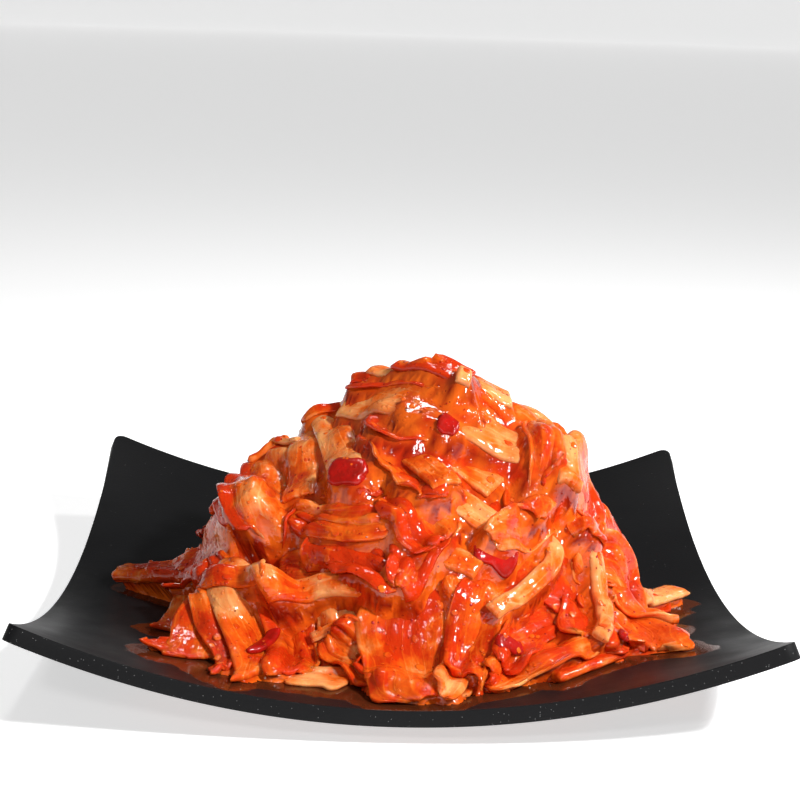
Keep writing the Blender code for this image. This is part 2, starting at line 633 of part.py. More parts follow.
def make_plate(look):
    plate = mesh_object("plate", *plate_face(0), look)
    wall = plate.modifiers.new("thickness", "SOLIDIFY")
    wall.thickness, wall.offset = PLATE_THICK * MM, -1
    bevel = plate.modifiers.new("rim bevel", "BEVEL")
    bevel.width, bevel.segments = RIM_BEVEL * MM, 1
    bevel.limit_method, bevel.angle_limit = "ANGLE", math.radians(50)

    turns = np.arange(FOOT_SIDES) / FOOT_SIDES * 2 * math.pi
    top = FOOT_HEIGHT + FOOT_SUNK
    profile = ((FOOT_OUTER, 0), (FOOT_OUTER, top), (FOOT_INNER, top), (FOOT_INNER, 0))
    rings = []
    for radius, z in profile:
        rings.append(np.stack([radius * np.cos(turns), radius * np.sin(turns), np.full(FOOT_SIDES, z)], -1))
    n = FOOT_SIDES
    faces = []
    for r in range(4):
        for a in range(n):
            b, s = (a + 1) % n, (r + 1) % 4
            faces.append((r * n + a, r * n + b, s * n + b, s * n + a))
    foot = mesh_object("foot", np.vstack(rings), faces)
    face_out(foot)
    foot.hide_render = True
    foot.display_type = "WIRE"
    union = plate.modifiers.new("foot", "BOOLEAN")
    union.operation, union.object = "UNION", foot
    for face in plate.data.polygons:
        face.use_smooth = True
    return plate


clear_scene()
make_plate(material("black melamine", (0.012, 0.012, 0.013), 0.45))
make_heap(material("kimchi", (0.72, 0.13, 0.03), 0.3))
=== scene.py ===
"""Cut cabbage kimchi heaped on a square dark plate: its pieces and finish, the light and the camera."""

import json
import math
from functools import partial

import bpy
import numpy as np
from mathutils import Matrix, Vector

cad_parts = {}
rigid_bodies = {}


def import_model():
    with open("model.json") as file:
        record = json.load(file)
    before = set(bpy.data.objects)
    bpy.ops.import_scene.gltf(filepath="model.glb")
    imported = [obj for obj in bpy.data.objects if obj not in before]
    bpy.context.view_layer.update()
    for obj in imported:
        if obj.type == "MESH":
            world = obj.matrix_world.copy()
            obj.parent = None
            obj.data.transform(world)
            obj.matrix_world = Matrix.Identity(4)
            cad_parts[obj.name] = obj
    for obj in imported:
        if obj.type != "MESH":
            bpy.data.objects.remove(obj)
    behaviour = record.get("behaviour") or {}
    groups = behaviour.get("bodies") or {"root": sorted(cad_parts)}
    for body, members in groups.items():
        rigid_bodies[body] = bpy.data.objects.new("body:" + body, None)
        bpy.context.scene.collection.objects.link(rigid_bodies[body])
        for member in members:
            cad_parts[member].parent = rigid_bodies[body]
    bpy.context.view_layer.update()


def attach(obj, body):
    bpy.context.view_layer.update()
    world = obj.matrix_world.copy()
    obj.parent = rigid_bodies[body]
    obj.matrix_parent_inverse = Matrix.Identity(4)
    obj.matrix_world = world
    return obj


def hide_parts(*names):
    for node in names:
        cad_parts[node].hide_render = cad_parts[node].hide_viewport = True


bl_info = {
    "name": "Kimchi on a Square Plate",
    "version": (1, 0, 0),
    "blender": (4, 5, 0),
    "location": "View3D > Sidebar > Kimchi",
    "description": "Dresses a heap of cut cabbage kimchi and the plate under it",
    "category": "Add Mesh",
}

for leftover in list(bpy.data.objects):
    bpy.data.objects.remove(leftover)

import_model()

MM = 0.001

# Plate, in millimetres
PLATE_HALF = 100.0
PLATE_THICK = 4.5
CORNER_ROUND = 4.0
EDGE_RISE = 4.0
CORNER_RISE = 21.4
FOOT_HEIGHT = 2.0
FOOT_OUTER, FOOT_INNER = 42.0, 36.0
FLOOR = FOOT_HEIGHT + PLATE_THICK
FOOT_SIDES, FOOT_SUNK = 96, 1.0
PLATE_CELLS, CORNER_STEPS = 110, 7
BEVEL_STEPS, BEVEL_FROM, SHARP_FROM = 3, math.radians(50), math.radians(40)

# Heap: a firm core with pieces laid over it
HEAP_X, HEAP_Y = 8.0, -13.0
CENTRE = np.array([HEAP_X, HEAP_Y, FLOOR])
DEEP = np.array([HEAP_X, HEAP_Y, -60.0])
CORE_WIDE, CORE_TALL, CORE_SQUARENESS = 51.0, 48.0, 2.8
FLARE, FLARE_FALL = 15.0, 9.0
CREST_RISE, CREST_AT, CREST_SPREAD = 9.0, (0.06, 0.12), (0.31, 0.42)
CORE_CELLS = 300

# The pieces at the front are placed by how they look from one side: so many millimetres
# across and up from the middle of the plate's floor, seen from EYE. ABREAST of the heap's
# middle the search for a spot ends, unless its height is given.
EYE = np.array([-13.5, -524.7, 187.4])
PITCH, YAW, ROLL = math.radians(12.7), math.radians(1.42), math.radians(1.84)
NEAREST, ABREAST, FARTHEST, SIGHT_STEP = 380.0, 544.0, 640.0, 0.5
PICTURE, FOCAL = 800.0, 1779.0

# The pile's height is kept over square cells of directions that fan out from DEEP
CELLS, WIDEST = 400, 1.6

# Rounds that settle where the plate's face and the core's lie, and a height over the floor
# that the core stays below
PLATE_ROUNDS, CORE_ROUNDS, SKY = 6, 16, 100.0

# Cells round a spot that count as near it, the lift that the search for a spot starts from,
# and how often the search is repeated
NEARBY, FIRST_LIFT, LIFT_ROUNDS = 4, 3.0, 3

# Side of the square table that random waves come from
WAVE_TABLE = 32

# Fine grid on which a piece is laid, and how the pieces give way to each other
LAID_STEP = 0.8
PRESS = 0.55
EDGE_CURL_RADIUS, EDGE_CURL_RISE = 2.6, 0.6
MOST_HUG, LEAST_SLOPE = 12.0, 0.4
FOLD_LONG, FOLD_WIDE = 22.0, 5.5
CREASE_LONG, CREASE_WIDE, CREASE_SHARE = 9.0, 2.4, 0.35
FRILL_LONG, FRILL_WIDE = 4.5, 9.0
FOLD_SHARE, FRILL_SHARE = 0.6, 0.9

# How a piece sags between the high spots under it, and evens out along its length where it is stiff
SAG_ROUNDS, SAG_KEPT, SAG_SOFTENED, EVENED = 40, 0.97, 3, 60

# A piece's own form: least and most rows and columns of its grid, a leaf's uneven edges and narrower
# ends, its pleats, a stalk's hollow, and the thickness at edges and ends against the middle's
ROWS, COLUMNS = (12, 90), (9, 60)
EDGE_KNOTS, EDGE_WAVER, END_WIDTH = 7, (0.84, 1.12), 0.35
PLEAT_KNOTS, PLEAT_WAVER, PLEAT_DRIFT = 6, 0.14, 0.6
STALK_HOLLOW = 0.08
STEM_EDGE, LEAF_EDGE = 0.25, 0.5
END_LONG, END_THICK = 1.2, 0.55

# thick: millimetres; stiff: 0 limp to 1 firm; hug: how closely it follows the core;
# fold: height of the soft folds that run along it
KINDS = {
    "stalk": dict(thick=3.2, stiff=0.65, hug=0.6, fold=0.3),
    "panel": dict(thick=2.6, stiff=0.5, hug=0.8, fold=0.5),
    "leaf": dict(thick=1.5, stiff=0.0, hug=0.95, fold=1.5),
    "strip": dict(thick=3.2, stiff=0.6, hug=0.8, fold=0.2),
    "shred": dict(thick=1.5, stiff=0.6, hug=0.6, fold=0.0),
    "chilli": dict(thick=1.8, stiff=0.6, hug=0.8, fold=0.3),
}
LEAVES, STEMS = ("leaf",), ("stalk", "panel", "strip", "shred")
SAUCE_ONLY, TOP_FROM = "slab_sauce", "cross_leaf"

# Finer relief of a finished piece, in millimetres, and how much paler its edges are
RIB_LONG, RIB_WIDE, RIB_HIGH = 16.0, 2.2, 0.1
FINE_LONG, FINE_WIDE, FINE_SHARE = 3.0, 0.9, 0.5
DENT_SIZE, DENT_DEEP = 3.2, 0.2
EDGE_PALE = 0.25

# Patches of paleness on a piece: how long, how wide and how strong
PALE_PATCHES = ((11, 7, 0.22), (4, 3, 0.12))

# Grain coordinates: how far apart, in millimetres, the pieces' grains lie, over how many
# places, and how many millimetres make one unit
GRAIN_APART, GRAIN_PLACES, GRAIN_UNIT = 40, 17, 100

# Painted shade: the pieces at the heap's left foot, away from the key lamp, are turned redder and darker: how
# much, and over which stretch
LEFT_SHADE, LEFT_SHADE_FROM, LEFT_SHADE_OVER = 0.35, -25.0, 30.0

# Painted shade down between the pieces, set by how far below the pile's top a point lies, and how the core is
# set under them
SHADE_FROM, DEEP_SHADE = 0.6, 3.4
CORE_SHOWS, CORE_SUNK = 0.3, 0.4

# Sauce between the pieces: how wide a crevice it fills in cells, how soft it lies,
# how far it stays below the tops, and how thick a layer must lie on the core to hold it
FILM_REACH, FILM_SOFT = 1, 3
FILM_BELOW, FILM_LEAST = 1.5, 2.0

# Drops of sauce and flakes of ground chilli on the open faces: how many, their least and greatest
# radius in millimetres, and their height against it
DROPS = (600, 0.4, 1.4, 0.16)
FLAKES = (300, 0.2, 0.55, 0.3)
OPEN_GAP, STEEPEST = 0.5, 0.25

# A drop or flake is a dome: its sides, how far up each of its rings lies as an angle, and the
# slanting way that its first side is set out by
DOME_SIDES, DOME_CLIMBS, ASLANT = 8, (-0.3, 0.25, 0.75, 1.2), (0.3, 0.5, 0.8)

# Juice on the plate round the heap, its warm colour partly a painted reflection of the heap: how far it
# spreads and softens, in cells, and how thick the heap lies where it comes from
JUICE_REACH, JUICE_SOFT, JUICE_FROM = 10, 14, 0.5

# How much fibres, veins, edges and patches pale cabbage, and how much gathered sauce reddens it
FIBRE_PALE, VEIN_PALE, RIM_PALE, PATCH_PALE, SAUCE_RED = 0.12, 0.2, 0.7, 0.2, 0.42

# Melamine: specks to a metre, their size in that spacing, and the share of them that shows on
# the face and on the rim
SPECKS_PER_METRE, SPECK_SIZE, FACE_SPECKS, RIM_SPECKS = 1500.0, 0.14, 0.02, 0.25

# Stage
FLOOR_REACH, SWEEP, FLOOR_GLOW = 9000.0, 1500.0, 0.6
SWEEP_STEPS, SWEEP_SIDES = 13, 72
WORLD_LIGHT = 0.08
LAMPS = (
    ("key", (0.46, -0.46, 0.58), 0.06, 8),
    ("side", (0.55, 0.10, 0.45), 0.10, 2),
    ("fill", (-0.15, -0.75, 0.5), 0.08, 1),
    ("back", (0.0, 0.35, 0.8), 0.12, 1.2),
)


def piece(kind, name, wide, *spots, pale=0.3, pleats=0, depth=1.8,
          curl=(0, 0), taper=(1, 1), facing=None, **more):
    made = dict(KINDS[kind], name=name, kind=kind, wide=wide, spots=spots, pale=pale, facing=facing)
    made.update(pleats=pleats, depth=depth, curl=curl, taper=taper, **more)
    return made


stalk, panel, leaf, strip, shred, chilli = (partial(piece, kind) for kind in KINDS)

# The front, lowest first. A third number in a spot is its height over the plate or the core.
# pale runs from 0, red leaf, to 1, pale stem; facing is the way a piece's broad side is turned;
# an edge below 0 reddens a piece's edges.
FRONT = [
    leaf("heel_pale", 12, (-30, -24, 1), (-14, -26, 1), pale=0.9),
    leaf("scrap_left", 6, (-75, -13, 4), (-63, -18, 1), pale=0.5),
    strip("small_bit_right", 7, (75, 0, 4), (87, 2, 4), pale=0.9, facing=(0, -1, 1)),
    leaf("leaf_behind_stalk", 12, (-58, 20, 10), (-44, 25, 14), pale=0.05, pleats=2, facing=(0, -1, 1)),
    stalk("long_stalk_left", 20, (-42, 9), (-64, 9, 10), (-85, 7, 4), pale=0.6, taper=(1, 0.25),
          thick=5, facing=(0, -1, 0.9)),
    panel("scoop_left", 17, (-61, 1, 9), (-64, -11, 1), pale=0.75),
    leaf("band_left", 8, (-70, 0, 7), (-60, 5, 10), (-48, 7, 13), pale=0.1, curl=(0, 120),
         facing=(0, -1, 1)),
    leaf("clear_leaf_left", 18, (-57, 1, 14), (-60, -19, 1), pale=0.5),
    stalk("stalk_right_heel", 9, (47, -25, 1), (57, -21, 2), (68, -17, 2), pale=0.4),
    leaf("leaf_right_heel", 14, (40, -24, 1), (55, -15), (62, -10), pale=0.1, pleats=2),
    leaf("ribs_left", 15, (-50, 3), (-52, -10), (-52, -23, 1), pale=0.35, pleats=3, depth=2.0),
    panel("panel_left", 12, (-42, 4), (-42, -10), (-43, -25, 1), pale=0.8),
    leaf("panel_mid_left", 18, (-31, 3), (-31, -10), (-31, -25, 1), pale=0.35, pleats=2),
    leaf("ribs_mid_left", 13, (-20, 3), (-17, -11), pale=0.95, pleats=2),
    chilli("chilli_left", 5, (-44, -17), (-36, -12)),
    shred("pointed_shred", 3.5, (-26, -13), (-8, -6), taper=(1, 0.3), pale=0.9),
    leaf("lined_leaf", 18, (-20, -11), (-11, -20), (-2, -28, 1), pale=0.35, pleats=4, depth=1.5),
    leaf("red_leaf_low", 14, (-12, -19), (0, -27, 1), (12, -29, 1), pale=0.2, curl=(0, 130)),
    leaf("big_leaf_mid", 34, (14, 6), (8, -12), (11, -32, 1), pale=0.35, pleats=2, depth=2.4),
    leaf("pale_rib_mid", 12, (18, 6), (24, -10), (14, -32, 1), pale=0.6, pleats=1, depth=2.5),
    leaf("ridge_leaf", 15, (40, 11), (27, 0), (21, -28, 1), pale=0.3, curl=(120, 0), pleats=1),
    leaf("fold_low_a", 19, (62, -12), (46, -18), (27, -27, 1), pale=0.45, pleats=3, depth=2.2),
    leaf("fold_low_b", 14, (57, -7), (41, -12), (31, -25, 1), pale=0.15, pleats=2, depth=2.2),
    chilli("chilli_low", 6, (31, -14), (39, -17)),
    leaf("inner_leaf_right", 26, (46, 10), (58, -2), (63, -14), pale=0.25, pleats=2),
    leaf("skirt_right", 24, (62, 2), (70, -8, 6), (79, -17, 1), pale=0.45, pleats=3, depth=2.2),
    leaf("cape_right", 20, (55, 14), (66, 5), (84, -11, 1), pale=0.4, curl=(60, 0), pleats=3),
    strip("long_strip_right", 5.5, (57, 20), (63, 6), (65, -6), (62, -14), pale=0.9),
    strip("bent_strip", 5.5, (43, 22), (49, 12), (42, 3), (30, -5), pale=0.8),
    chilli("chilli_speck", 3.5, (69, -11), (71, -14)),
    strip("yellow_bit", 7, (13, 14), (26, 8), pale=0.7),
    leaf("clear_band_left", 8, (-56, -1, 10), (-47, 5, 14), (-40, 9, 17), pale=0.4),
    leaf("cross_leaf", 10, (-36, 10), (-20, 9), (-2, 4), pale=0.4),
    stalk("cross_stalk", 9, (-43, 5), (-22, 3), (2, -1), pale=0.7, taper=(1, 0.5)),
    leaf("mid_leaf", 28, (-22, 22), (-10, 13), (2, 1), pale=0.05, pleats=2, taper=(1, 0.35)),
    leaf("mid_leaf_b", 18, (11, 24), (6, 12), (1, 2), pale=0.05, pleats=2, taper=(1, 0.5)),
    leaf("fold_left", 15, (-28, 29), (-36, 17), pale=0.15, pleats=2),
    leaf("frill", 12, (-31, 25), (-16, 23), (3, 24), pale=0.35, pleats=3, depth=2.2),
    chilli("chilli_dark", 9, (25, 15), (37, 9), thick=2.4),
    leaf("crumple_mid", 17, (-1, 31), (15, 17), pale=0.1, pleats=3, depth=2.2),
    leaf("red_lobe", 13, (-23, 34), (-5, 32), pale=0.3, pleats=1),
    leaf("panel_slot", 15, (13, 40), (34, 25), pale=0.0),
    stalk("wedge_stalk", 8, (14, 32), (33, 19), pale=0.7),
    strip("stub_left", 5.5, (-61, 33), (-47, 37), pale=0.6),
    leaf("lobe_left", 15, (-47, 43), (-49, 25), pale=0.1),
    leaf("wedge_leaf_left", 21, (-33, 45), (-38, 14), pale=0.8, curl=(0, 60), edge=-1),
    strip("wedge_top", 5, (-46, 43), (-33, 49), pale=0.8),
    panel("panel_high_left", 10, (-27, 60), (-30, 31), pale=0.6),
    leaf("red_leaf_high", 14, (-12, 51), (-8, 31), pale=0.1, pleats=1),
    panel("block_stalk", 10, (-21, 55), (-15, 39), pale=0.8),
    chilli("chilli_high", 8, (-20, 38), (-9, 37), thick=2.8),
    leaf("loop_leaf", 16, (-6, 47), (4, 37), (17, 32), pale=0.25, curl=(0, 140), pleats=2),
    panel("loop_band", 8, (-4, 51), (6, 43), (16, 34), pale=0.5),
    panel("big_panel", 13, (9, 47), (32, 34), pale=0.55),
    leaf("fan_leaf", 22, (20, 51), (35, 44), (47, 34), pale=0.4, pleats=2),
    leaf("ring_leaf", 11, (52, 37), (50, 27), (43, 21), (29, 18), pale=0.5, curl=(0, 130)),
    leaf("ring_leaf_b", 13, (44, 44), (40, 25), pale=0.35, curl=(110, 0), pleats=1),
    leaf("right_leaf", 15, (51, 38), (58, 27), (57, 16), pale=0.35, pleats=2),
    stalk("right_knob", 8, (50, 48), (56, 38), pale=0.85, thick=5.5),
    leaf("rim_bits", 8, (-29, 57), (-14, 61), pale=0.1, pleats=2),
    stalk("slab_back", 10, (-14, 61), (10, 59), (34, 54), pale=0.8),
    leaf("slab_low", 13, (-8, 53), (12, 49), (28, 47), (44, 39), pale=0.35, pleats=1, curl=(0, 90)),
    stalk("slab_front", 14, (-13, 58), (10, 55), (46, 48), pale=0.75),
    leaf("slab_sauce", 10, (1, 55), (11, 52), (24, 50), pale=0.0),
    leaf("slab_end", 9, (43, 53), (47, 44), (46, 35), pale=0.4, pleats=2),
    chilli("chilli_slab", 5, (13, 49), (19, 47)),
    leaf("crest_leaf", 13, (-13, 68), (5, 69), (22, 65), pale=0.05, pleats=2),
    leaf("crest_bits", 9, (-12, 66), (-6, 73), pale=0.2, pleats=2, edge=-1),
    stalk("crest_stalk", 6, (-8, 79), (2, 78), pale=0.8),
    panel("crest_band", 7, (1, 73), (12, 71), (22, 66), pale=0.3, edge=-1),
    strip("crest_knob", 5, (19, 69), (23, 66), pale=0.8),
    shred("shred_left", 1.8, (-40, 52), (-30, 49), pale=0.9),
]

# The sides that the list above leaves bare are filled by rule: first (and last) turn about the
# heap in degrees, how many pieces, and their kinds. Then each kind's width and length, how far up
# the heap they go, how they crowd low down and stray in size, and the turn from one to the next.
SIDES = (-15.0, 176.0, 34, ("leaf", "leaf", "panel", "stalk", "leaf", "strip"))
SIDE_SIZES = {"leaf": (25, 40), "panel": (16, 32), "stalk": (10, 36), "strip": (7.5, 30)}
SIDE_SEED = 25
SIDE_CLIMBS, SIDE_CROWDING, SIDE_STRAY = (3, 80), 1.5, (0.8, 1.3)
GOLDEN_TURN = 0.618034


def plate_top(x, y):
    """Height of the plate's upper face."""
    across, along = np.asarray(x) / PLATE_HALF, np.asarray(y) / PLATE_HALF
    dish = EDGE_RISE * (across**2 + along**2)
    return FLOOR + dish + (CORNER_RISE - EDGE_RISE) * (across * along) ** 2


def core_radius(way):
    """How far the core reaches from CENTRE along each unit direction."""
    flat = np.hypot(way[..., 0], way[..., 1])
    rise = np.clip(way[..., 2], 0, 1)
    n = CORE_SQUARENESS
    dome = ((flat / CORE_WIDE) ** n + (rise / CORE_TALL) ** n) ** (-1 / n)
    climb = np.degrees(np.arcsin(rise))
    turn = np.arctan2(way[..., 1], way[..., 0])
    lobes = 1 + 0.03 * np.cos(2 * turn) + 0.025 * np.sin(3 * turn + 0.6)
    east, north = ((way[..., k] - CREST_AT[k]) / CREST_SPREAD[k] for k in (0, 1))
    bump = CREST_RISE * np.exp(-(east**2 + north**2) / 2) * (rise > 0)
    return dome * lobes + FLARE * np.exp(-climb / FLARE_FALL) + bump


def unit(v):
    return v / np.maximum(np.linalg.norm(v, axis=-1, keepdims=True), 1e-9)


def view_axes():
    ahead = np.array([math.sin(YAW) * math.cos(PITCH), math.cos(YAW) * math.cos(PITCH), -math.sin(PITCH)])
    right = unit(np.cross(ahead, (0.0, 0.0, 1.0)))
    up = np.cross(right, ahead)
    c, s = math.cos(ROLL), math.sin(ROLL)
    return c * right + s * up, c * up - s * right


ACROSS, UPWARD = view_axes()


def fan(p):
    """The cell that each point's direction from DEEP falls in, as fractions, and its height over DEEP."""
    out = p - DEEP
    high = out[..., 2]
    return (out[..., 0] / high / WIDEST + 1) / 2 * CELLS, (out[..., 1] / high / WIDEST + 1) / 2 * CELLS, high


def ground():
    """Height over DEEP, in each direction, at which the core or else the plate's face is left."""
    g = ((np.arange(CELLS) + 0.5) / CELLS * 2 - 1) * WIDEST
    gx, gy = np.meshgrid(g, g, indexing="ij")
    way = np.stack([gx, gy, np.ones_like(gx)], -1)
    plate = np.full_like(gx, FLOOR - DEEP[2])
    for _ in range(PLATE_ROUNDS):
        at = DEEP + way * plate[..., None]
        plate = plate_top(at[..., 0], at[..., 1]) - DEEP[2]
    low, high = plate.copy(), np.full_like(plate, FLOOR + SKY - DEEP[2])
    for _ in range(CORE_ROUNDS):
        mid = (low + high) / 2
        out = DEEP + way * mid[..., None] - CENTRE
        far = np.linalg.norm(out, axis=-1)
        inside = far < core_radius(out / far[..., None])
        low, high = np.where(inside, mid, low), np.where(inside, high, mid)
    return low


GROUND = ground()


def read(table, p):
    """The table's value in each point's direction, and the point's own height."""
    i, j, high = fan(p)
    i, j = (np.clip(k - 0.5, 0, CELLS - 1.001) for k in (i, j))
    a, b = i.astype(int), j.astype(int)
    u, v = i - a, j - b
    near = table[a, b] * (1 - u) + table[a + 1, b] * u
    far = table[a, b + 1] * (1 - u) + table[a + 1, b + 1] * u
    return near * (1 - v) + far * v, high


def raised(p, by):
    """The points moved straight away from DEEP until they are so much higher."""
    out = p - DEEP
    return DEEP + out * (1 + by / out[..., 2])[..., None]


def seen_at(across, up, lift, far):
    """Where the line of sight first comes within lift of the core or the plate, or else passes closest."""
    through = np.array([0.0, 0.0, FLOOR]) + ACROSS * across + UPWARD * up
    line = unit(through - EYE)
    along = EYE + line * np.arange(NEAREST, far, SIGHT_STEP)[:, None]
    under, high = read(GROUND, along)
    gap = high - under - lift
    hit = np.flatnonzero(gap <= 0)
    return along[hit[0] if len(hit) else int(np.argmin(gap))]


def waves(along, across, seed):
    """Soft random waves from -1 to 1 over two coordinates, about one to each unit."""
    n = WAVE_TABLE
    table = np.random.default_rng(seed).uniform(-1, 1, (n, n))
    i, j = np.floor(along).astype(int), np.floor(across).astype(int)
    a, b = along - i, across - j
    a, b = a * a * (3 - 2 * a), b * b * (3 - 2 * b)
    near = table[i % n, j % n] * (1 - a) + table[(i + 1) % n, j % n] * a
    far = table[i % n, (j + 1) % n] * (1 - a) + table[(i + 1) % n, (j + 1) % n] * a
    return near * (1 - b) + far * b


def through(points, count):
    """A smooth line of count points through the given ones."""
    p = np.asarray(points, float)
    if len(p) == 2:
        p = np.array([p[0], (p[0] + p[1]) / 2, p[1]])
    p = np.vstack([2 * p[0] - p[1], p, 2 * p[-1] - p[-2]])
    t = np.linspace(0, len(p) - 3, count)
    k = np.minimum(t.astype(int), len(p) - 4)
    u = (t - k)[:, None]
    a, b, c, d = (p[k + n] for n in range(4))
    return 0.5 * (2 * b + (c - a) * u + (2 * a - 5 * b + 4 * c - d) * u**2 + (3 * b - a - 3 * c + d) * u**3)


def blur(f):
    g = np.pad(f, 1, mode="edge")
    return (g[:-2, 1:-1] + g[2:, 1:-1] + g[1:-1, :-2] + g[1:-1, 2:]) / 4


def rest_over(need, stiff):
    """The lift that clears need and sags between its high spots, evened out along a stiff piece."""
    lift = need
    for _ in range(SAG_ROUNDS):
        lift = np.maximum(need, blur(lift) * SAG_KEPT)
    for _ in range(SAG_SOFTENED):
        lift = blur(lift)
    row = (lift.max(axis=1, keepdims=True) + lift.mean(axis=1, keepdims=True)) / 2
    for _ in range(EVENED):
        g = np.pad(row, ((1, 1), (0, 0)), mode="edge")
        row = (g[:-2] + 2 * row + g[2:]) / 4
    return lift * (1 - stiff) + row * stiff


class Pile:
    """How high the pieces laid so far reach, in each direction from DEEP."""

    def __init__(self):
        self.reach = GROUND.copy()

    def around(self, point):
        """The pile's typical height over the ground near one point."""
        i, j, _ = fan(point)
        a, b = (int(np.clip(k, NEARBY, CELLS - 1 - NEARBY)) for k in (i, j))
        patch = slice(a - NEARBY, a + NEARBY + 1), slice(b - NEARBY, b + NEARBY + 1)
        return float(np.mean(self.reach[patch] - GROUND[patch]))

    def add(self, points):
        i, j, high = fan(points)
        i, j = (np.clip(k.astype(int), 1, CELLS - 2) for k in (i, j))
        for a in (-1, 0, 1):
            for b in (-1, 0, 1):
                np.maximum.at(self.reach, (i + a, j + b), high)


def outward(grid, out):
    """Unit normals of the surface through a grid of points, facing out."""
    n = unit(np.cross(np.gradient(grid, axis=0), np.gradient(grid, axis=1)))
    return n * (1 if (n * out).sum(-1).mean() > 0 else -1)


def spine_of(it, pile):
    """The line along the middle of a piece on the ground, and how far above it each point starts."""
    if "on_core" in it:
        points = np.array(it["on_core"])
        under, high = read(GROUND, points)
        return raised(points, under - high), np.zeros(len(points))
    points, bases = [], []
    for across, up, *given in it["spots"]:
        lift = given[0] if given else FIRST_LIFT
        for _ in range(1 if given else LIFT_ROUNDS):
            at = seen_at(across, up, lift, FARTHEST if given else ABREAST)
            around = pile.around(at) + it["thick"] / 2
            lift = lift if given else around
        under, high = read(GROUND, at)
        base = given[0] if given else max(float(high - under) - lift, 0.0)
        points.append(raised(at, under + base - high))
        bases.append(base)
    return np.array(points), np.array(bases)


def over_piece(rows, columns):
    """How far along a piece, from 0 to 1, and across it, from -1 to 1, each point of its grid lies."""
    along, across = np.linspace(0, 1, rows), np.linspace(-1, 1, columns)
    return along[:, None] + np.zeros((1, columns)), across[None, :] + np.zeros((rows, 1))


def lay(it, pile, seed):
    """Lays a piece over the pile. Its middle surface, normals and thickness come back as grids."""
    rng = np.random.default_rng(seed)
    points, bases = spine_of(it, pile)
    length = np.linalg.norm(np.diff(points, axis=0), axis=1).sum()
    rows = int(np.clip(length / LAID_STEP, *ROWS))
    columns = int(np.clip(it["wide"] / LAID_STEP, *COLUMNS))
    line = through(points, rows)
    base = np.interp(np.linspace(0, 1, rows), np.linspace(0, 1, len(bases)), bases)[:, None]
    out = unit(line - CENTRE if it["facing"] is None else np.array(it["facing"]))
    side = unit(np.cross(np.gradient(line, axis=0), out))
    s, t = over_piece(rows, columns)

    first, last = it["taper"]
    half = it["wide"] / 2 * (first + (last - first) * s)
    if it["kind"] in ("leaf", "chilli"):
        knots = np.linspace(0, 1, EDGE_KNOTS)
        drawn = (rng.uniform(*EDGE_WAVER, EDGE_KNOTS) for _ in range(2))
        left, right = (np.interp(s[:, 0], knots, width)[:, None] for width in drawn)
        half = half * np.where(t > 0, left, right)
        half = half * (END_WIDTH + (1 - END_WIDTH) * np.sqrt(np.clip(1 - np.abs(2 * s - 1) ** 6, 0, 1)))
    x, h = t * half, np.zeros_like(t)

    if it["pleats"]:
        knots = np.linspace(-1, 1, PLEAT_KNOTS)
        warped = np.interp(t, knots, knots + rng.uniform(-PLEAT_WAVER, PLEAT_WAVER, PLEAT_KNOTS))
        drift = PLEAT_DRIFT * np.sin(s * math.pi * rng.uniform(0.6, 1.6) + rng.uniform(0, 6))
        phase = math.pi * it["pleats"] * warped + drift + rng.uniform(0, 6)
        strength = 0.55 + 0.45 * waves(s * 3, t * 1.5, seed + 1)
        h = h + it["depth"] * strength * (0.5 + 0.5 * np.cos(phase))
    for angle, way in zip(it["curl"], (-1, 1)):
        run = math.radians(angle) * EDGE_CURL_RADIUS
        h = h + EDGE_CURL_RISE * np.maximum(way * x - (half - run), 0)
    if it["kind"] == "stalk":
        h = h + STALK_HOLLOW * it["wide"] * t**2 * rng.choice([-1, 1])

    grid = line[:, None] + side[:, None] * x[..., None]
    under, high = read(GROUND, grid)
    grid = raised(grid, np.minimum(under + base - high, MOST_HUG) * it["hug"])
    thick = it["thick"]
    out = unit(grid - DEEP)
    slope = np.clip((outward(grid, out) * out).sum(-1), LEAST_SLOPE, 1)
    reach, high = read(pile.reach, grid)
    need = np.maximum(reach - high + thick / 2 * out[..., 2] / slope, 0)
    grid = raised(grid, rest_over(need, it["stiff"]))

    run, width = s * length, x
    fold = waves(run / FOLD_LONG, width / FOLD_WIDE, seed + 2)
    fold = fold + CREASE_SHARE * waves(run / CREASE_LONG, width / CREASE_WIDE, seed + 3)
    frill = waves(run / FRILL_LONG, width / FRILL_WIDE, seed + 4) * np.abs(t) ** 5
    h = h + it["fold"] * (FOLD_SHARE * fold + FRILL_SHARE * frill)
    grid = grid + outward(grid, out) * h[..., None]
    floor, high = read(GROUND, grid)
    grid = raised(grid, np.maximum(floor + thick / 2 - high, 0))
    normal = outward(grid, out)
    if it["kind"] in ("stalk", "strip"):
        body = thick * (STEM_EDGE + (1 - STEM_EDGE) * np.sqrt(np.clip(1 - t**4, 0, 1)))
    else:
        body = thick * (LEAF_EDGE + (1 - LEAF_EDGE) * (1 - t**4))
    body = body * np.clip(np.minimum(s, 1 - s) * length / END_LONG + END_THICK, 0, 1)
    pile.add(grid + normal * np.maximum(body / 2 - PRESS, 0)[..., None])
    return dict(it, grid=grid, normal=normal, body=body, length=length)


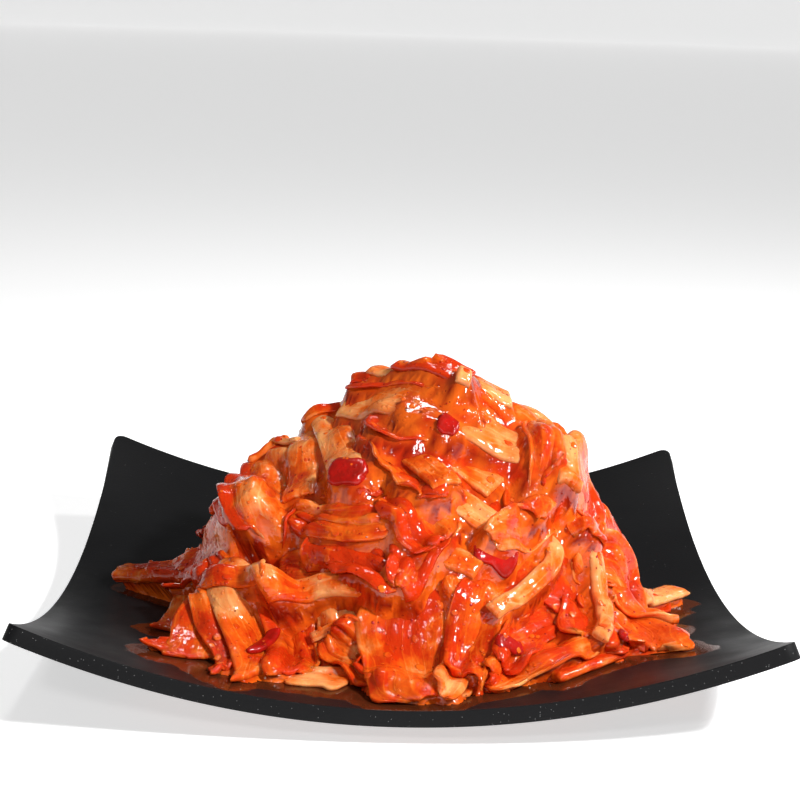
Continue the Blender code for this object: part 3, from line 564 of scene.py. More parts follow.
def side_pieces():
    """Pieces spread over the heap's back and sides, each at a slant of its own."""
    rng = np.random.default_rng(SIDE_SEED)
    first, last, count, kinds = SIDES
    low, high = SIDE_CLIMBS
    for k in range(count):
        turn = math.radians(first + (last - first) * ((k * GOLDEN_TURN) % 1))
        climb = math.radians(low + (high - low) * ((k + 0.5) / count) ** SIDE_CROWDING)
        kind = kinds[int(rng.integers(len(kinds)))]
        wide, long = (size * rng.uniform(*SIDE_STRAY) for size in SIDE_SIZES[kind])
        lean = rng.uniform(0, math.pi)
        d = np.array([math.cos(climb) * math.cos(turn), math.cos(climb) * math.sin(turn), math.sin(climb)])
        level = unit(np.cross(d, (0.0, 0.0, 1.0)))
        slant = level * math.cos(lean) + np.cross(level, d) * math.sin(lean)
        points = [CENTRE + d * core_radius(d) + slant * long * q for q in (-0.5, 0.0, 0.5)]
        for p in points:
            p[2] = max(p[2], FLOOR + 1.0)
        it = piece(kind, f"side_{k:02d}", wide, on_core=points)
        if kind == "leaf":
            it.update(pleats=int(rng.integers(1, 4)), depth=rng.uniform(1.2, 2.2))
            it["curl"] = ((0, 120), (120, 0), (0, 0))[int(rng.integers(3))]
            it["pale"] = rng.uniform(0, 0.5)
        else:
            it["pale"] = rng.uniform(0.4, 0.9)
        yield it


def finer(field):
    """A grid of values or points with one more column halfway between each two, smoothly curved."""
    f = np.moveaxis(field, 1, 0)
    wide = np.concatenate([2 * f[:1] - f[1:2], f, 2 * f[-1:] - f[-2:-1]])
    middle = (9 * (f[:-1] + f[1:]) - wide[:-3] - wide[3:]) / 16
    out = np.empty((2 * len(f) - 1, *f.shape[1:]))
    out[::2], out[1::2] = f, middle
    return np.moveaxis(out, 0, 1)


def quads(k):
    """The faces between neighbours in a grid of point numbers."""
    return np.stack([k[:-1, :-1], k[1:, :-1], k[1:, 1:], k[:-1, 1:]], -1)


def buried(points, reach):
    """How deep each point lies, for the painted shade between the pieces: 0 down to SHADE_FROM below the
    pile's top, and 1 DEEP_SHADE further.
    """
    top, high = read(reach, points)
    return np.clip((top - high - SHADE_FROM) / DEEP_SHADE, 0, 1)


def on_side(name):
    return name.startswith("side_")


def at_top(name):
    order = [it["name"] for it in FRONT]
    return name in order[order.index(TOP_FROM):]


def sheet_mesh(it, reach):
    """A laid piece as arrays: points, faces, grain coordinates, and values for the finish."""
    grid, body = it["grid"], it["body"]
    if not on_side(it["name"]):
        grid, body = finer(grid), finer(body)
    rows, columns = grid.shape[:2]
    s, t = over_piece(rows, columns)
    along, across = s * it["length"], t * it["wide"] / 2
    seed = sum(map(ord, it["name"]))
    normal = outward(grid, unit(grid - DEEP))
    if it["kind"] != "chilli":
        rib = waves(along / RIB_LONG, across / RIB_WIDE, seed)
        rib = rib + FINE_SHARE * waves(along / FINE_LONG, across / FINE_WIDE, seed + 1)
        dent = waves(along / DENT_SIZE, across / DENT_SIZE, seed + 2)
        grid = grid + normal * (RIB_HIGH * rib + DENT_DEEP * dent)[..., None]
        normal = outward(grid, unit(grid - DEEP))
    half = body[..., None] / 2
    upper_side, under_side = grid + normal * half, grid - normal * half
    points = np.concatenate([upper_side.reshape(-1, 3), under_side.reshape(-1, 3)])
    n = rows * columns
    k = np.arange(n).reshape(rows, columns)
    upper = quads(k).reshape(-1, 4)
    ring = np.concatenate([k[:-1, 0], k[-1, :-1], k[:0:-1, -1], k[0, :0:-1]])
    after = np.roll(ring, -1)
    wall = np.stack([ring, ring + n, after + n, after], 1)
    faces = np.concatenate([upper, upper[:, ::-1] + n, wall])
    a, b, c = (points[upper[len(upper) // 2, q]] for q in (0, 1, 2))
    if np.dot(np.cross(b - a, c - a), normal.reshape(-1, 3)[upper[len(upper) // 2, 0]]) < 0:
        faces = faces[:, ::-1]
    drift = sum(
        waves(along / long, across / wide, seed + 5 + k) * share
        for k, (long, wide, share) in enumerate(PALE_PATCHES)
    )
    # Painted shade on the heap's left side, away from the key lamp
    left_shade = LEFT_SHADE * np.clip((LEFT_SHADE_FROM - grid[..., 0]) / LEFT_SHADE_OVER, 0, 1)
    pale = np.clip(it["pale"] + drift - left_shade, -0.3, 1)
    values = {
        "pale": np.concatenate([pale.ravel()] * 2),
        "rim": np.concatenate([(it.get("edge", EDGE_PALE) * np.abs(t) ** 4).ravel()] * 2),
        # deep: how far below the pile's top each point lies, which sets the painted shade between the pieces
        "deep": buried(points, reach),
    }
    grain = np.stack([along.ravel(), across.ravel() + GRAIN_APART * (seed % GRAIN_PLACES)], -1) / GRAIN_UNIT
    return points, faces, np.concatenate([grain, grain]), values


def joined(parts):
    """Several sheets as one set of arrays."""
    points, faces, grain, values = zip(*parts)
    starts = np.cumsum([0] + [len(p) for p in points[:-1]])
    return (
        np.concatenate(points),
        np.concatenate([f + first for f, first in zip(faces, starts)]),
        np.concatenate(grain),
        {name: np.concatenate([v[name] for v in values]) for name in values[0]},
    )


def turned(profile, sides, closed=False):
    """Points and faces of a line of (radius, height) turned about the upright axis."""
    turns = np.linspace(0, 2 * math.pi, sides, endpoint=False)
    rings = [np.stack([r * np.cos(turns), r * np.sin(turns), np.full(sides, z)], -1) for r, z in profile]
    faces = []
    for r in range(len(rings) if closed else len(rings) - 1):
        low, high = r * sides, (r + 1) % len(rings) * sides
        faces += [(low + a, high + a, high + (a + 1) % sides, low + (a + 1) % sides) for a in range(sides)]
    return np.concatenate(rings), np.array(faces)


def mesh_object(name, points, faces, look, grain=None, values=None):
    """A smooth mesh object from arrays in millimetres."""
    mesh = bpy.data.meshes.new(name)
    mesh.from_pydata((points * MM).tolist(), [], faces.tolist())
    mesh.polygons.foreach_set("use_smooth", np.ones(len(mesh.polygons), bool))
    for field, given in (values or {}).items():
        mesh.attributes.new(field, "FLOAT", "POINT").data.foreach_set("value", given.astype(np.float32))
    if grain is not None:
        corner = np.empty(len(mesh.loops), np.int32)
        mesh.loops.foreach_get("vertex_index", corner)
        mesh.uv_layers.new(name="grain").data.foreach_set("uv", grain[corner].astype(np.float32).ravel())
    mesh.materials.append(look)
    mesh.update()
    obj = bpy.data.objects.new(name, mesh)
    bpy.context.scene.collection.objects.link(obj)
    return obj


class Graph:
    """Adds nodes to one node tree. What an input is given may be a socket, a number, a vector or a colour."""

    def __init__(self, tree):
        self.tree = tree

    def feed(self, socket, value):
        if isinstance(value, bpy.types.NodeSocket):
            self.tree.links.new(value, socket)
        elif value is not None:
            socket.default_value = value

    def add(self, kind, *values, out=0, **settings):
        """A shader node fed in the order of its sockets, and the output asked for."""
        node = self.tree.nodes.new("ShaderNode" + kind)
        for name, value in settings.items():
            setattr(node, name, value)
        for socket, value in zip(node.inputs, values):
            self.feed(socket, value)
        return node.outputs[out]

    def sum(self, a, b):
        return self.add("Math", a, b, operation="ADD")

    def times(self, a, b):
        return self.add("Math", a, b, operation="MULTIPLY")

    def minus(self, a, b):
        return self.add("Math", a, b, operation="SUBTRACT")

    def below(self, a, b):
        """1 where a is less than b, else 0."""
        return self.add("Math", a, b, operation="LESS_THAN")

    def unsigned(self, a):
        return self.add("Math", a, operation="ABSOLUTE")

    def ranged(self, value, low, high, to_low=0.0, to_high=1.0):
        """The value from low to high brought to another range and held inside it."""
        return self.add("MapRange", value, low, high, to_low, to_high)

    def mixed(self, factor, a, b, blend="MIX"):
        """Colour a turned into colour b by the factor."""
        node = self.tree.nodes.new("ShaderNodeMix")
        node.data_type, node.blend_type = "RGBA", blend
        for name, value in (("Factor_Float", factor), ("A_Color", a), ("B_Color", b)):
            self.feed(next(s for s in node.inputs if s.identifier == name), value)
        return next(s for s in node.outputs if s.identifier == "Result_Color")

    def noise(self, vector, scale, detail=2.0, roughness=0.5):
        node = self.tree.nodes.new("ShaderNodeTexNoise")
        given = {"Vector": vector, "Scale": scale, "Detail": detail, "Roughness": roughness}
        for name, value in given.items():
            self.feed(node.inputs[name], value)
        return node.outputs["Fac"]

    def cells(self, vector, scale):
        """Distance to the nearest point of a scatter, and a colour that differs from cell to cell."""
        node = self.tree.nodes.new("ShaderNodeTexVoronoi")
        self.feed(node.inputs["Vector"], vector)
        self.feed(node.inputs["Scale"], scale)
        return node.outputs["Distance"], node.outputs["Color"]

    def place(self):
        return self.add("TexCoord", out="Object")

    def field(self, name):
        return self.add("Attribute", attribute_name=name, out="Fac")


def effect(name, inputs, outputs):
    """The graph of an empty node group with these float (or, given three numbers, vector) sockets."""
    tree = bpy.data.node_groups.new(name, "ShaderNodeTree")
    for label, default in inputs:
        kind = "NodeSocketVector" if isinstance(default, tuple) else "NodeSocketFloat"
        tree.interface.new_socket(label, in_out="INPUT", socket_type=kind).default_value = default
    for label in outputs:
        tree.interface.new_socket(label, in_out="OUTPUT", socket_type="NodeSocketFloat")
    return Graph(tree), tree.nodes.new("NodeGroupInput").outputs, tree.nodes.new("NodeGroupOutput").inputs


def fibre_lines():
    """Fine pale lines that run along a leaf or a stem."""
    g, given, made = effect("fibre lines", [("Grain", (0.0, 0.0, 0.0)), ("Spacing", 1.0)], ["Lines"])
    stretch = g.add("CombineXYZ", 9.0, g.add("Math", 120.0, given["Spacing"], operation="DIVIDE"), 1.0)
    fine = g.noise(g.add("VectorMath", given["Grain"], stretch, operation="MULTIPLY"), 1.0, 2.0, 0.6)
    g.feed(made["Lines"], g.ranged(fine, 0.42, 0.66))
    return g.tree


def leaf_veins():
    """Thin veins that wander along a leaf, 1 on a vein and 0 off it."""
    g, given, made = effect("leaf veins", [("Grain", (0.0, 0.0, 0.0))], ["Veins"])
    stretched = g.add("VectorMath", given["Grain"], (6.0, 24.0, 1.0), operation="MULTIPLY")
    level = g.minus(g.noise(stretched, 1.0, 1.0), 0.5)
    g.feed(made["Veins"], g.ranged(g.unsigned(level), 0.0, 0.04, 1.0, 0.0))
    return g.tree


def chilli_specks():
    """Scattered small flakes: 1 inside a flake, 0 outside."""
    inputs = [("Place", (0.0, 0.0, 0.0)), ("Per Metre", 500.0), ("Share", 0.4)]
    g, given, made = effect("chilli specks", inputs, ["Mask"])
    near, shade = g.cells(given["Place"], given["Per Metre"])
    kept = g.below(g.add("SeparateColor", shade), given["Share"])
    size = g.ranged(g.add("SeparateColor", shade, out=1), 0.0, 1.0, 0.06, 0.16)
    g.feed(made["Mask"], g.times(kept, g.below(near, size)))
    return g.tree


def wet_skin():
    """Soft dents and scattered small blisters that break up the shine of a wet surface."""
    g, given, made = effect("wet skin", [("Place", (0.0, 0.0, 0.0)), ("Blisters", 0.3)], ["Height"])
    broad = g.noise(given["Place"], 300.0, 2.0, 0.5)
    near, shade = g.cells(given["Place"], 650.0)
    kept = g.below(g.add("SeparateColor", shade), given["Blisters"])
    dome = g.ranged(g.times(near, near), 0.0, 0.16, 0.4, 0.0)
    g.feed(made["Height"], g.sum(broad, g.times(dome, kept)))
    return g.tree


def sauce_cover():
    """Where sauce has gathered, in patches from 0 to 1."""
    g, given, made = effect("sauce cover", [("Place", (0.0, 0.0, 0.0)), ("Amount", 0.5)], ["Cover"])
    patches = g.noise(given["Place"], 95.0, 4.0, 0.62)
    low = g.minus(0.85, given["Amount"])
    g.feed(made["Cover"], g.ranged(patches, low, g.sum(low, 0.2)))
    return g.tree


EFFECTS = {}


def use(g, make, *values, out=0):
    """The effect's group placed in a material, made the first time that one asks for it."""
    if make.__name__ not in EFFECTS:
        EFFECTS[make.__name__] = make()
    node = g.tree.nodes.new("ShaderNodeGroup")
    node.node_tree = EFFECTS[make.__name__]
    for socket, value in zip(node.inputs, values):
        g.feed(socket, value)
    return node.outputs[out]


def solid(colour):
    """A property's colour with full cover, as a socket wants it."""
    return (*colour, 1.0)


def started(name):
    """A new material and the graph of its nodes."""
    made = bpy.data.materials.new(name)
    made.use_nodes = True
    return made, Graph(made.node_tree)


def finish(made, g, colour, roughness, height, bump, **constants):
    """Feeds a material's Principled shader and sets what is the same all over it."""
    shader = made.node_tree.nodes["Principled BSDF"]
    g.feed(shader.inputs["Base Color"], colour)
    g.feed(shader.inputs["Roughness"], roughness)
    relief = made.node_tree.nodes.new("ShaderNodeBump")
    relief.inputs["Strength"].default_value = 1.0
    relief.inputs["Distance"].default_value = bump * MM
    g.feed(relief.inputs["Height"], height)
    g.feed(shader.inputs["Normal"], relief.outputs["Normal"])
    for label, value in constants.items():
        shader.inputs[label.replace("_", " ")].default_value = value
    return made


def cabbage(name, looks, spacing, sauce, roughness):
    """Wet cabbage: its paleness, fibres, sauce and specks all vary over the piece."""
    made, g = started(name)
    place = g.place()
    grain = g.add("UVMap", uv_map="grain")
    lines = use(g, fibre_lines, grain, spacing)
    veins = use(g, leaf_veins, grain)
    cover = use(g, sauce_cover, place, sauce)
    specks = use(g, chilli_specks, place, 480.0, 0.28)
    skin = use(g, wet_skin, place, 0.35)
    pale = g.sum(g.sum(g.field("pale"), g.times(lines, FIBRE_PALE)), g.times(veins, VEIN_PALE))
    pale = g.sum(pale, g.times(g.field("rim"), RIM_PALE))
    pale = g.sum(pale, g.ranged(g.noise(place, 60.0, 2.0), 0.35, 0.65, -PATCH_PALE, PATCH_PALE))
    pale = g.minus(pale, g.times(cover, SAUCE_RED))
    red, orange, stem = solid(looks.leaf_red), solid(looks.leaf_orange), solid(looks.stem_pale)
    colour = g.mixed(g.ranged(pale, 0.0, 0.45), red, orange)
    colour = g.mixed(g.ranged(pale, 0.4, 1.0), colour, stem)
    colour = g.mixed(g.times(specks, 0.75), colour, solid(looks.chilli_dark))
    # Painted shade: the colour darkens to dark red where a point lies deep between the pieces
    colour = g.mixed(g.field("deep"), colour, solid(looks.crevice_shade))
    rough = g.ranged(cover, 0.0, 1.0, roughness + 0.05, roughness - 0.04)
    height = g.sum(skin, g.sum(g.times(lines, 0.07), g.times(veins, 0.12)))
    return finish(
        made, g, colour, rough, height, 0.45,
        Subsurface_Weight=0.35, Subsurface_Radius=(1.0, 0.32, 0.12), Subsurface_Scale=0.003,
        Specular_IOR_Level=0.32,
    )


def chilli_flesh(looks):
    made, g = started("red chilli flesh")
    place = g.place()
    skin = use(g, wet_skin, place, 0.3)
    colour = g.mixed(g.noise(place, 300.0), solid(looks.chilli_red), solid(looks.chilli_dark))
    return finish(
        made, g, colour, g.ranged(skin, 0.0, 1.0, 0.12, 0.26), skin, 0.25,
        Subsurface_Weight=0.15, Subsurface_Radius=(1.0, 0.1, 0.05), Subsurface_Scale=0.002,
        Specular_IOR_Level=0.35,
    )


def sauce(looks):
    made, g = started("chilli sauce")
    place = g.place()
    skin = use(g, wet_skin, place, 0.5)
    specks = use(g, chilli_specks, place, 420.0, 0.5)
    streaks = g.ranged(g.noise(place, 120.0, 3.0), 0.35, 0.6)
    colour = g.mixed(streaks, solid(looks.leaf_red), solid(looks.leaf_orange))
    colour = g.mixed(g.times(specks, 0.7), colour, solid(looks.chilli_dark))
    # Painted shade: the sauce darkens to dark red where it lies deep between the pieces
    colour = g.mixed(g.field("deep"), colour, solid(looks.crevice_shade))
    rough = g.ranged(skin, 0.0, 1.0, 0.05, 0.12)
    return finish(made, g, colour, rough, skin, 0.25, Specular_IOR_Level=0.5)


def melamine(looks):
    """Black, satin and speckled, most of all on its rim, and slick and warm where liquid from the heap has
    spread, that warm colour partly a painted reflection of the heap.
    """
    made, g = started("black melamine")
    place = g.place()
    grain = g.noise(place, 1500.0, 2.0)
    turned_up = g.add("SeparateXYZ", g.add("NewGeometry", out="Normal"), out="Z")
    rim = g.ranged(g.unsigned(turned_up), 0.75, 0.5)
    near, shade = g.cells(place, SPECKS_PER_METRE)
    share = g.ranged(rim, 0.0, 1.0, FACE_SPECKS, RIM_SPECKS)
    kept = g.below(g.add("SeparateColor", shade), share)
    specks = g.times(g.below(near, SPECK_SIZE), kept)
    spread = g.sum(g.field("wet"), g.ranged(g.noise(place, 70.0, 3.0, 0.6), 0.3, 0.7, -0.35, 0.35))
    wet = g.times(g.ranged(spread, 0.4, 0.55), g.ranged(rim, 0.1, 0.0))
    colour = g.mixed(specks, solid(looks.plate_black), solid(looks.plate_speck))
    # Juice on the plate, its warm colour partly a painted reflection of the heap
    colour = g.mixed(wet, colour, solid(looks.juice_and_reflection))
    satin = looks.plate_roughness
    rough = g.ranged(g.noise(place, 60.0, 3.0), 0.3, 0.7, satin - 0.05, satin + 0.08)
    rough = g.sum(rough, g.times(rim, 0.15))
    rough = g.ranged(wet, 0.0, 1.0, rough, 0.07)
    height = g.sum(grain, g.times(rim, g.noise(place, 700.0, 3.0)))
    return finish(made, g, colour, rough, height, 0.04, Specular_IOR_Level=0.12)


def plate_points(lines, rise):
    """The plate's upper face over these grid lines, its corners rounded off in plan."""
    x, y = np.meshgrid(lines, lines, indexing="ij")
    start = PLATE_HALF - CORNER_ROUND
    a = np.clip((np.abs(x) - start) / CORNER_ROUND, 0, 1)
    b = np.clip((np.abs(y) - start) / CORNER_ROUND, 0, 1)
    x = x + np.sign(x) * (a * np.sqrt(1 - b**2 / 2) - a) * CORNER_ROUND
    y = y + np.sign(y) * (b * np.sqrt(1 - a**2 / 2) - b) * CORNER_ROUND
    return np.stack([x, y, plate_top(x, y) + rise], -1)


def juice_over(points):
    """How surely liquid from the heap, whose warm colour is partly a painted reflection of the heap, has
    reached each point of the plate, from 0 to 1.
    """
    covered = (laid()[1] - GROUND > JUICE_FROM).astype(float)
    spread = shifted(covered, JUICE_REACH, np.maximum)
    for _ in range(JUICE_SOFT):
        spread = blur(spread)
    return read(spread, points)[0]


def make_plate(looks):
    inner = np.linspace(0, PLATE_HALF - CORNER_ROUND, PLATE_CELLS // 2)
    edge = PLATE_HALF - CORNER_ROUND + CORNER_ROUND * np.linspace(0, 1, CORNER_STEPS)[1:]
    half = np.concatenate([inner, edge])
    lines = np.concatenate([-half[:0:-1], half])
    points = plate_points(lines, 0).reshape(-1, 3)
    k = np.arange(len(points)).reshape(len(lines), len(lines))
    faces = quads(k).reshape(-1, 4)
    plate = mesh_object("square_plate", points, faces, melamine(looks), values={"wet": juice_over(points)})
    wall = plate.modifiers.new("thickness", "SOLIDIFY")
    wall.thickness, wall.offset = PLATE_THICK * MM, -1
    bevel = plate.modifiers.new("rim", "BEVEL")
    bevel.width, bevel.segments = looks.rim_bevel, BEVEL_STEPS
    bevel.limit_method, bevel.angle_limit = "ANGLE", BEVEL_FROM
    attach(plate, "root")
    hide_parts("plate")

    top = FOOT_HEIGHT + FOOT_SUNK
    profile = ((FOOT_INNER, 0.0), (FOOT_OUTER, 0.0), (FOOT_OUTER, top), (FOOT_INNER, top))
    points, faces = turned(profile, FOOT_SIDES, closed=True)
    foot = mesh_object("foot_ring", points, faces[:, ::-1], plate.data.materials[0])
    foot.data.set_sharp_from_angle(angle=SHARP_FROM)
    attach(foot, "root")


def make_core(look):
    """What lies under the pieces, with sauce that fills the crevices between them."""
    reach = laid()[1]
    film = shifted(shifted(reach, FILM_REACH, np.maximum), FILM_REACH, np.minimum) - FILM_BELOW
    film = np.where(reach - GROUND > FILM_LEAST, film, GROUND - CORE_SUNK)
    for _ in range(FILM_SOFT):
        film = blur(film)
    film = np.maximum(film, GROUND - CORE_SUNK)
    g = np.linspace(0, CELLS - 1, CORE_CELLS).astype(int)
    i, j = np.meshgrid(g, g, indexing="ij")
    way = np.stack([(i + 0.5) / CELLS * 2 - 1, (j + 0.5) / CELLS * 2 - 1], -1) * WIDEST
    way = np.concatenate([way, np.ones_like(way[..., :1])], -1)
    points = DEEP + way * film[i, j][..., None]
    inside = points[..., 2] > plate_top(points[..., 0], points[..., 1]) + CORE_SHOWS
    keep = inside[:-1, :-1] | inside[1:, :-1] | inside[1:, 1:] | inside[:-1, 1:]
    k = np.arange(i.size).reshape(i.shape)
    faces = quads(k)[keep]
    used, flat = np.unique(faces, return_inverse=True)
    points, faces = points.reshape(-1, 3)[used], flat.reshape(-1, 4)
    # deep sets the painted shade on the core down between the pieces
    return mesh_object("sauce_core", points, faces, look, values={"deep": buried(points, reach)})


def shifted(field, times, pick):
    """The field with each cell given the highest or lowest value of its neighbours, so many times over."""
    for _ in range(times):
        g = np.pad(field, 1, mode="edge")
        field = pick(pick(field, pick(g[:-2, 1:-1], g[2:, 1:-1])), pick(g[1:-1, :-2], g[1:-1, 2:]))
    return field


def pile_up():
    """Every piece laid, and how high the whole pile reaches in each direction."""
    pile = Pile()
    made = [lay(it, pile, 300 + k) for k, it in enumerate(side_pieces())]
    made += [lay(it, pile, 500 + k) for k, it in enumerate(FRONT)]
    return made, pile.reach


LAID = {}


def laid():
    if not LAID:
        LAID["pieces"], LAID["reach"] = pile_up()
    return LAID["pieces"], LAID["reach"]


def make_pieces(name, kinds, names, look):
    """One object that holds every laid piece of these kinds whose name passes."""
    pieces, reach = laid()
    shown = [it for it in pieces if it["kind"] in kinds and it["name"] != SAUCE_ONLY]
    chosen = [sheet_mesh(it, reach) for it in shown if names(it["name"])]
    points, faces, grain, values = joined(chosen)
    made = mesh_object(name, points, faces, look, grain, values)
    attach(made, "root")
    return made


def open_faces():
    """Points on the pieces' upper faces that no other piece covers, with the ways that they face."""
    pieces, reach = laid()
    points, ways = [], []
    for it in pieces:
        inner = slice(2, -2), slice(1, -1)
        grid, normal = it["grid"][inner], it["normal"][inner]
        at = grid + normal * it["body"][inner][..., None] / 2
        top, high = read(reach, at)
        clear = (np.abs(top - high) < OPEN_GAP) & ((normal * unit(at - DEEP)).sum(-1) > STEEPEST)
        points.append(at[clear])
        ways.append(normal[clear])
    return np.concatenate(points), np.concatenate(ways)


def scatter(name, spec, ragged, seed, look):
    """Small domes strewn over the open faces, as one object."""
    rng = np.random.default_rng(seed)
    count, least, most, rise = spec
    spots, ways = open_faces()
    pick = rng.choice(len(spots), count, replace=False)
    radii = least + (most - least) * rng.uniform(0, 1, count) ** 2
    n = DOME_SIDES
    k = np.arange(n)
    after, turns = (k + 1) % n, k / n * 2 * math.pi
    points, faces = [], []
    for spot, way, radius in zip(spots[pick], ways[pick], radii):
        first = unit(np.cross(way, ASLANT))
        second = np.cross(way, first)
        edge = radius * rng.uniform(1 - ragged, 1 + ragged, n)
        flat = (np.cos(turns)[:, None] * first + np.sin(turns)[:, None] * second) * edge[:, None]
        rings = [
            spot + flat * math.cos(climb) + way * radius * rise * math.sin(climb)
            for climb in DOME_CLIMBS
        ]
        start = (n * len(rings) + 1) * len(points)
        last = start + n * (len(rings) - 1)
        for low in range(start, last, n):
            a, b = low + k, low + after
            faces += [np.stack([a, b, b + n], 1), np.stack([a, b + n, a + n], 1)]
        faces.append(np.stack([last + k, last + after, np.full(n, last + n)], 1))
        points.append(np.concatenate([*rings, rings[-1].mean(axis=0, keepdims=True)]))
    made = mesh_object(name, np.concatenate(points), np.concatenate(faces), look)
    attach(made, "root")


def tint(name, about, colour):
    """A colour that can be set in the panel."""
    return bpy.props.FloatVectorProperty(
        name=name, description=about, subtype="COLOR", default=colour, min=0, max=1)


class KimchiLooks(bpy.types.PropertyGroup):
    leaf_red: tint("Leaf red", "Thin leaf soaked in sauce", (0.58, 0.032, 0.003))
    leaf_orange: tint("Leaf orange", "Leaf between sauce and stem", (0.8, 0.13, 0.008))
    stem_pale: tint("Stem", "Pale stem under a thin film of sauce", (0.85, 0.36, 0.12))
    # Painted shade: the dark red that points deep between the pieces are turned to
    crevice_shade: tint("Crevice shade", "Painted shade down between the pieces", (0.22, 0.008, 0.0015))
    chilli_red: tint("Chilli", "Pieces of fresh red chilli", (0.6, 0.008, 0.006))
    chilli_dark: tint("Dark chilli", "Ground chilli and the darkest skins", (0.16, 0.008, 0.003))
    plate_black: tint("Plate", "Black melamine", (0.006, 0.006, 0.0065))
    plate_speck: tint("Plate specks", "Fine pale specks in the melamine", (0.2, 0.2, 0.2))
    # Juice on the plate, its warm colour partly a painted reflection of the heap
    juice_and_reflection: tint("Juice", "Juice on the plate round the heap", (0.07, 0.016, 0.005))
    plate_roughness: bpy.props.FloatProperty(
        name="Plate roughness", description="How satin the plate is",
        default=0.42, min=0.1, max=1)
    rim_bevel: bpy.props.FloatProperty(
        name="Rim bevel", description="How far the rim's edges are eased",
        default=0.0006, min=0.0001, max=0.002, unit="LENGTH")
    fibre_spacing: bpy.props.FloatProperty(
        name="Fibre spacing", description="Spacing of the fine lines along a leaf, against the usual one",
        default=1.0, min=0.3, max=4)


def looks_now():
    return bpy.context.scene.kimchi_looks


class KIMCHI_OT_plate(bpy.types.Operator):
    """Model the square plate with its upturned corners and its foot"""

    bl_idname = "kimchi.plate"
    bl_label = "Plate"

    def execute(self, context):
        make_plate(looks_now())
        return {"FINISHED"}


class KIMCHI_OT_leaves(bpy.types.Operator):
    """Lay the leaves of cabbage over the core"""

    bl_idname = "kimchi.leaves"
    bl_label = "Leaves"

    def execute(self, context):
        looks = looks_now()
        look = cabbage("cabbage leaf", looks, looks.fibre_spacing, 0.5, 0.1)
        low = make_pieces("low_leaves", LEAVES, lambda name: not on_side(name) and not at_top(name), look)
        make_pieces("top_leaves", LEAVES, at_top, look)
        make_pieces("side_leaves", LEAVES, on_side, look)
        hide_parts("kimchi_heap")
        return {"FINISHED"}


class KIMCHI_OT_stems(bpy.types.Operator):
    """Lay the stems, panels, strips and shreds"""

    bl_idname = "kimchi.stems"
    bl_label = "Stems"

    def execute(self, context):
        looks = looks_now()
        look = cabbage("cabbage stem", looks, 1.6 * looks.fibre_spacing, 0.46, 0.12)
        make_pieces("front_stems", STEMS, lambda name: not on_side(name), look)
        make_pieces("side_stems", STEMS, on_side, look)
        return {"FINISHED"}


class KIMCHI_OT_chilli(bpy.types.Operator):
    """Lay the pieces of red chilli and strew its flakes"""

    bl_idname = "kimchi.chilli"
    bl_label = "Chilli"

    def execute(self, context):
        flesh = chilli_flesh(looks_now())
        make_pieces("chilli_pieces", ("chilli",), lambda name: True, flesh)
        scatter("chilli_flakes", FLAKES, 0.4, 61, flesh)
        return {"FINISHED"}


class KIMCHI_OT_core(bpy.types.Operator):
    """Fill the heap below the pieces and strew drops of sauce"""

    bl_idname = "kimchi.core"
    bl_label = "Core"

    def execute(self, context):
        look = sauce(looks_now())
        core = make_core(look)
        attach(core, "root")
        scatter("sauce_drops", DROPS, 0.15, 47, look)
        return {"FINISHED"}


def area_light(name, place, size, power, aim=(0.0, 0.0, 0.03)):
    made = bpy.data.lights.new(name, "AREA")
    made.size, made.energy = size, power
    lamp = bpy.data.objects.new(name, made)
    lamp.location = place
    lamp.rotation_euler = (Vector(aim) - Vector(place)).to_track_quat("-Z", "Y").to_euler()
    bpy.context.scene.collection.objects.link(lamp)


def make_sweep(look):
    """A round floor that curves up into a wall far away on every side."""
    bend = np.linspace(0, math.pi / 2, SWEEP_STEPS)
    radii = np.concatenate([[1.0], FLOOR_REACH + SWEEP * np.sin(bend)])
    heights = np.concatenate([[0.0], SWEEP * (1 - np.cos(bend))])
    return mesh_object("pale_floor", *turned(zip(radii, heights), SWEEP_SIDES), look)


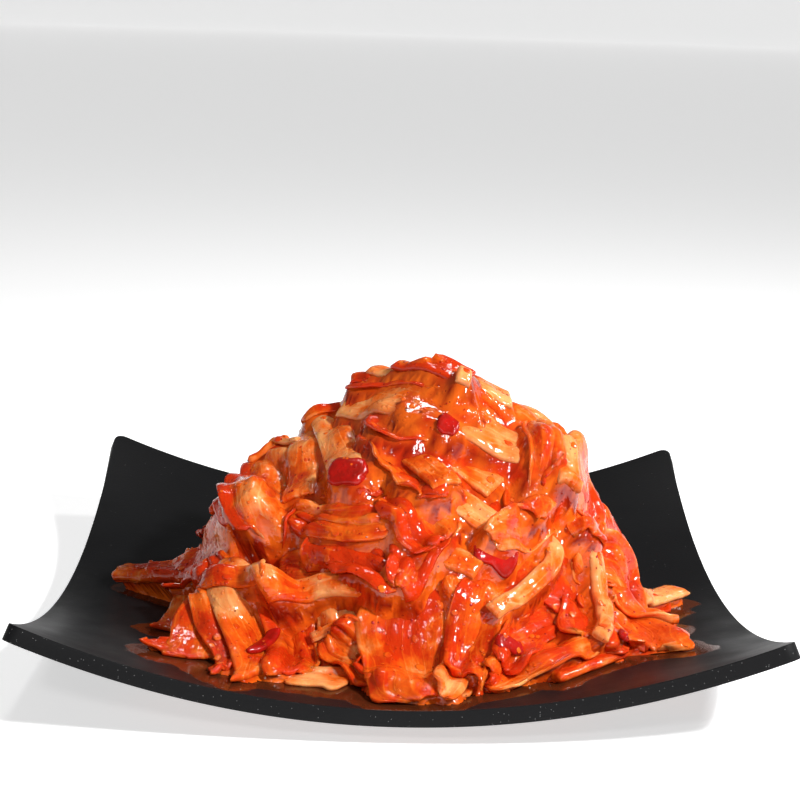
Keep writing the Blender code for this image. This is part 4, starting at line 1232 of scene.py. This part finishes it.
def make_camera():
    camera = bpy.data.cameras.new("camera")
    camera.sensor_width = 36.0
    camera.lens = FOCAL / PICTURE * camera.sensor_width
    camera.clip_start = 0.01
    obj = bpy.data.objects.new("camera", camera)
    ahead = np.cross(UPWARD, ACROSS)
    turned = Matrix([[ACROSS[n], UPWARD[n], -ahead[n]] for n in range(3)]).to_4x4()
    obj.matrix_world = Matrix.Translation(EYE * MM) @ turned
    bpy.context.scene.collection.objects.link(obj)
    bpy.context.scene.camera = obj


class KIMCHI_OT_stage(bpy.types.Operator):
    """Set the floor, the light and the camera"""

    bl_idname = "kimchi.stage"
    bl_label = "Stage"

    def execute(self, context):
        made, _ = started("pale floor")
        shader = made.node_tree.nodes["Principled BSDF"]
        shader.inputs["Base Color"].default_value = (0.86, 0.86, 0.86, 1)
        shader.inputs["Roughness"].default_value = 0.7
        shader.inputs["Emission Color"].default_value = (1, 1, 1, 1)
        shader.inputs["Emission Strength"].default_value = FLOOR_GLOW
        floor = make_sweep(made)
        world = bpy.data.worlds.new("studio")
        bpy.context.scene.world = world
        world.use_nodes = True
        world.node_tree.nodes["Background"].inputs["Color"].default_value = (1, 1, 1, 1)
        world.node_tree.nodes["Background"].inputs["Strength"].default_value = WORLD_LIGHT
        for lamp in LAMPS:
            area_light(*lamp)
        make_camera()
        bpy.context.scene.view_settings.view_transform = "Standard"
        return {"FINISHED"}


STEPS = (
    KIMCHI_OT_plate, KIMCHI_OT_core, KIMCHI_OT_leaves,
    KIMCHI_OT_stems, KIMCHI_OT_chilli, KIMCHI_OT_stage,
)


class KIMCHI_PT_panel(bpy.types.Panel):
    """Lists the colours, the finish and the steps"""

    bl_label = "Kimchi"
    bl_idname = "KIMCHI_PT_panel"
    bl_space_type = "VIEW_3D"
    bl_region_type = "UI"
    bl_category = "Kimchi"

    def draw(self, context):
        for name in KimchiLooks.__annotations__:
            self.layout.prop(context.scene.kimchi_looks, name)
        for step in STEPS:
            self.layout.operator(step.bl_idname)


def register():
    for made in (KimchiLooks, *STEPS, KIMCHI_PT_panel):
        bpy.utils.register_class(made)
    bpy.types.Scene.kimchi_looks = bpy.props.PointerProperty(type=KimchiLooks)


def unregister():
    del bpy.types.Scene.kimchi_looks
    for made in (KIMCHI_PT_panel, *reversed(STEPS), KimchiLooks):
        bpy.utils.unregister_class(made)


def main():
    register()
    for step in STEPS:
        group, name = step.bl_idname.split(".")
        getattr(getattr(bpy.ops, group), name)()


if __name__ == "__main__":
    main()
